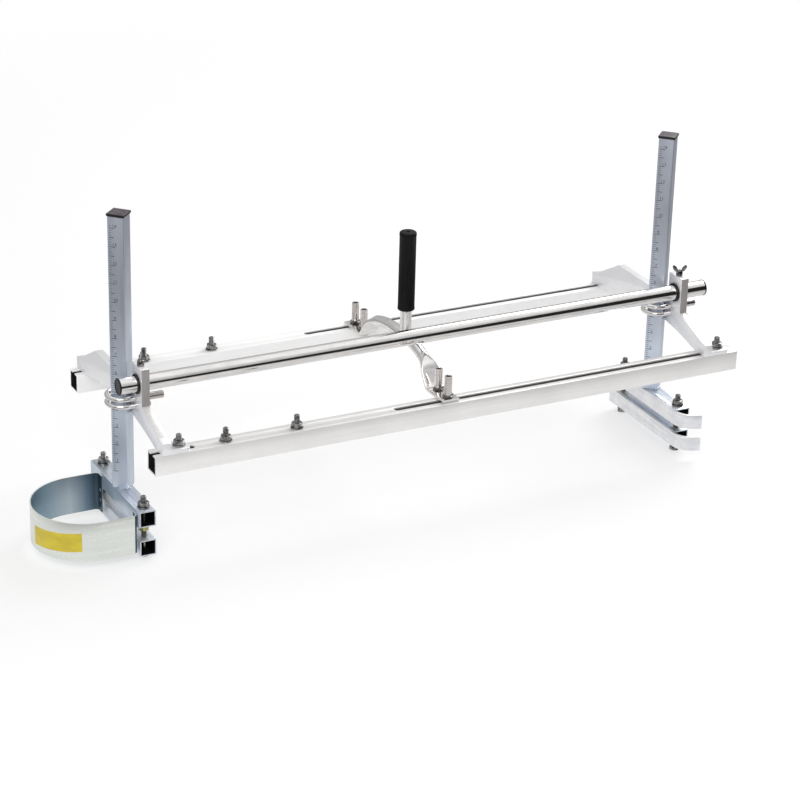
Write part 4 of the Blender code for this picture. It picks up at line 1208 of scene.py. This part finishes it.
def make_world():
    """White to the camera, an even white for light, and for bright metal a grey that pales towards the top."""
    world = bpy.data.worlds.new("studio_world")
    bpy.context.scene.world = world
    world.use_nodes = True
    tree = world.node_tree
    tree.nodes.clear()
    direction = add_node(tree, "TexCoord").outputs["Generated"]
    height = add_node(tree, "SeparateXYZ", {"Vector": direction}).outputs["Z"]
    levels = ((0.0, 0.5), (0.35, 0.5), (0.62, 0.65), (0.86, 1.0))
    ramp = add_node(tree, "ValToRGB", {"Fac": height})
    sky = fill_ramp(ramp, [(position, (level, level, level, 1.0)) for position, level in levels])
    white = (1.0, 1.0, 1.0, 1.0)
    shown = add_node(tree, "Background", {"Color": sky, "Strength": 1.0})
    ambient = add_node(tree, "Background", {"Color": white, "Strength": settings().sky_strength})
    backdrop = add_node(tree, "Background", {"Color": white, "Strength": 1.0})
    path = add_node(tree, "LightPath").outputs
    mix = ambient.outputs[0]
    for ray, seen in (("Is Glossy Ray", shown), ("Is Camera Ray", backdrop)):
        mix = add_node(tree, "MixShader", {0: path[ray], 1: mix, 2: seen.outputs[0]}).outputs[0]
    add_node(tree, "OutputWorld", {"Surface": mix})


def make_lamp(name, place, target, size, power):
    clear_selection()
    bpy.ops.object.light_add(type="AREA", location=place)
    lamp = bpy.context.object
    lamp.name = name
    lamp.data.shape = "DISK"
    lamp.data.size = size
    lamp.data.energy = power
    lamp.rotation_euler = (Vector(target) - Vector(place)).to_track_quat("-Z", "Y").to_euler()


def make_camera():
    """The photograph's viewpoint: a long lens, over a metre to the left, almost three in front and 1.5 up."""
    azimuth, elevation, roll = math.radians(27.284), math.radians(23.991), math.radians(1.583)
    forward = Vector((math.sin(azimuth) * math.cos(elevation), math.cos(azimuth) * math.cos(elevation),
                      -math.sin(elevation)))
    right = Vector((math.cos(azimuth), -math.sin(azimuth), 0.0))
    up = right.cross(forward)
    turned_right = right * math.cos(roll) + up * math.sin(roll)
    turned_up = up * math.cos(roll) - right * math.sin(roll)
    data = bpy.data.cameras.new("photo_camera")
    focal_pixels, picture_width = 2648.933, 800.0
    data.sensor_width = 36.0
    data.lens = focal_pixels * data.sensor_width / picture_width
    camera = bpy.data.objects.new("photo_camera", data)
    bpy.context.scene.collection.objects.link(camera)
    basis = Matrix((turned_right, turned_up, -forward)).transposed()
    place = spot(-1.133191, -2.878061, 1.487744)
    camera.matrix_world = Matrix.Translation(place) @ basis.to_4x4()
    bpy.context.scene.camera = camera


# ---------------------------------------------------------------- add-on


class LogFrameLooks(bpy.types.PropertyGroup):
    aluminium: bpy.props.FloatVectorProperty(
        name="Aluminium", description="Lighter colour of the front rail's extruded aluminium",
        subtype="COLOR", size=4, min=0.0, max=1.0, default=linear("#FBFAF9"))
    zinc: bpy.props.FloatVectorProperty(
        name="Blue zinc", description="Colour of the zinc on the lower part of the posts",
        subtype="COLOR", size=4, min=0.0, max=1.0, default=linear("#D3DDEA"))
    chrome: bpy.props.FloatVectorProperty(
        name="Chrome", description="Colour of the chrome on the cross tube, arch and U-bolts",
        subtype="COLOR", size=4, min=0.0, max=1.0, default=linear("#F4F2F0"))
    plastic: bpy.props.FloatVectorProperty(
        name="Nylon", description="Colour of the moulded caps, plugs and bushes",
        subtype="COLOR", size=4, min=0.0, max=1.0, default=linear("#0B0A0D"))
    rubber: bpy.props.FloatVectorProperty(
        name="Rubber", description="Colour of the grip",
        subtype="COLOR", size=4, min=0.0, max=1.0, default=linear("#040404"))
    label: bpy.props.FloatVectorProperty(
        name="Label", description="Colour of the plain label on the guard",
        subtype="COLOR", size=4, min=0.0, max=1.0, default=linear("#DCC936"))
    floor_glow: bpy.props.FloatProperty(
        name="Floor glow", description="Share of the floor's white that needs no light",
        default=0.55, min=0.0, max=1.0, subtype="FACTOR")
    sky_strength: bpy.props.FloatProperty(
        name="Sky strength", description="Brightness of the white studio round the object",
        default=0.62, min=0.0, max=2.0)
    flag_distance: bpy.props.FloatProperty(
        name="Flag distance", description="Distance of the black screen from the object's middle",
        default=1.3, min=1.0, max=4.0, subtype="DISTANCE", unit="LENGTH")
    flag_high: bpy.props.FloatProperty(
        name="Flag height", description="Greatest height of the black screen, which stands on the floor",
        default=1.4, min=0.0, max=2.0, subtype="DISTANCE", unit="LENGTH")
    flag_middle: bpy.props.FloatProperty(
        name="Flag middle", description="Height of the black screen over the object's middle",
        default=0.56, min=0.0, max=2.0, subtype="DISTANCE", unit="LENGTH")
    flag_slope: bpy.props.FloatProperty(
        name="Flag slope", description="Rise of the black screen's top for each metre to the right",
        default=0.27, min=0.0, max=2.0, subtype="FACTOR")
    flag_start: bpy.props.FloatProperty(
        name="Flag start", description="Direction of the black screen's left end, from the rails' direction",
        default=math.radians(-168.0), min=-math.pi, max=math.pi, subtype="ANGLE", unit="ROTATION")
    flag_end: bpy.props.FloatProperty(
        name="Flag end", description="Direction of the black screen's right end, from the rails' direction",
        default=math.radians(-15.0), min=-math.pi, max=math.pi, subtype="ANGLE", unit="ROTATION")


def run_steps(*steps):
    for step in steps:
        step()
    clear_selection()
    return {"FINISHED"}


class LOGFRAME_OT_rails(bpy.types.Operator):
    """Dress both slotted rails"""
    bl_idname = "logframe.rails"
    bl_label = "Rails"

    def execute(self, context):
        return run_steps(make_rails)


class LOGFRAME_OT_brackets(bpy.types.Operator):
    """Dress both brackets and model their bushes"""
    bl_idname = "logframe.brackets"
    bl_label = "Brackets"

    def execute(self, context):
        return run_steps(make_brackets, make_bushes)


class LOGFRAME_OT_cross_tube(bpy.types.Operator):
    """Model the cross tube and its end plugs"""
    bl_idname = "logframe.cross_tube"
    bl_label = "Cross tube"

    def execute(self, context):
        return run_steps(make_cross_tube)


class LOGFRAME_OT_slot_bolts(bpy.types.Operator):
    """Model the bolts that sit in the rails"""
    bl_idname = "logframe.slot_bolts"
    bl_label = "Slot bolts"

    def execute(self, context):
        return run_steps(make_foot_bolts, make_spare_bolts)


class LOGFRAME_OT_u_bolts(bpy.types.Operator):
    """Model the U-bolts round the posts, with their nuts"""
    bl_idname = "logframe.u_bolts"
    bl_label = "U-bolts"

    def execute(self, context):
        return run_steps(make_u_bolts)


class LOGFRAME_OT_wing_screws(bpy.types.Operator):
    """Model the wing screws on the brackets"""
    bl_idname = "logframe.wing_screws"
    bl_label = "Wing screws"

    def execute(self, context):
        return run_steps(make_wing_screws)


class LOGFRAME_OT_posts(bpy.types.Operator):
    """Model the posts with their caps, inch scales and welds"""
    bl_idname = "logframe.posts"
    bl_label = "Posts"

    def execute(self, context):
        return run_steps(make_posts, make_welds)


class LOGFRAME_OT_clamps(bpy.types.Operator):
    """Model the clamp tubes and their bolts"""
    bl_idname = "logframe.clamps"
    bl_label = "Clamps"

    def execute(self, context):
        return run_steps(make_clamp_tubes, make_clamp_bolts)


class LOGFRAME_OT_guard(bpy.types.Operator):
    """Bend the nose guard and lay its plain label"""
    bl_idname = "logframe.guard"
    bl_label = "Nose guard"

    def execute(self, context):
        return run_steps(make_guard, make_label)


class LOGFRAME_OT_skids(bpy.types.Operator):
    """Bend the two skid strips"""
    bl_idname = "logframe.skids"
    bl_label = "Skids"

    def execute(self, context):
        return run_steps(make_skids)


class LOGFRAME_OT_handle(bpy.types.Operator):
    """Model the arch, its upright, the grip and the long round nuts"""
    bl_idname = "logframe.handle"
    bl_label = "Handle"

    def execute(self, context):
        return run_steps(make_arch, make_handle, make_sleeves)


class LOGFRAME_OT_stage(bpy.types.Operator):
    """Set the floor, screen, lamps, world and camera"""
    bl_idname = "logframe.stage"
    bl_label = "Stage"

    def execute(self, context):
        run_steps(make_floor, make_flag, make_world, make_camera)
        make_lamp("key_lamp", (1.9, 0.9, 2.0), (0.0, 0.0, 0.0), 1.7, 38.0)
        make_lamp("fill_lamp", (-1.6, -1.9, 2.1), (0.0, 0.0, 0.1), 2.0, 30.0)
        clear_selection()
        context.scene.view_settings.view_transform = "Standard"
        return {"FINISHED"}


OPERATORS = (
    LOGFRAME_OT_rails, LOGFRAME_OT_brackets, LOGFRAME_OT_cross_tube, LOGFRAME_OT_slot_bolts, LOGFRAME_OT_u_bolts,
    LOGFRAME_OT_wing_screws, LOGFRAME_OT_posts, LOGFRAME_OT_clamps, LOGFRAME_OT_guard, LOGFRAME_OT_skids,
    LOGFRAME_OT_handle, LOGFRAME_OT_stage,
)


class LOGFRAME_PT_panel(bpy.types.Panel):
    """Colours, stage sizes and the steps that build the frame"""
    bl_idname = "LOGFRAME_PT_panel"
    bl_label = "Log Frame"
    bl_space_type = "VIEW_3D"
    bl_region_type = "UI"
    bl_category = "Log Frame"

    def draw(self, context):
        looks = context.scene.log_frame_looks
        for name in looks.bl_rna.properties.keys():
            if name not in ("rna_type", "name"):
                self.layout.prop(looks, name)
        for operator in OPERATORS:
            self.layout.operator(operator.bl_idname)


CLASSES = (LogFrameLooks,) + OPERATORS + (LOGFRAME_PT_panel,)


def register():
    for cls in CLASSES:
        bpy.utils.register_class(cls)
    bpy.types.Scene.log_frame_looks = bpy.props.PointerProperty(type=LogFrameLooks)


def unregister():
    del bpy.types.Scene.log_frame_looks
    for cls in reversed(CLASSES):
        bpy.utils.unregister_class(cls)


def main():
    register()
    for operator in OPERATORS:
        group, name = operator.bl_idname.split(".")
        getattr(getattr(bpy.ops, group), name)()


if __name__ == "__main__":
    main()
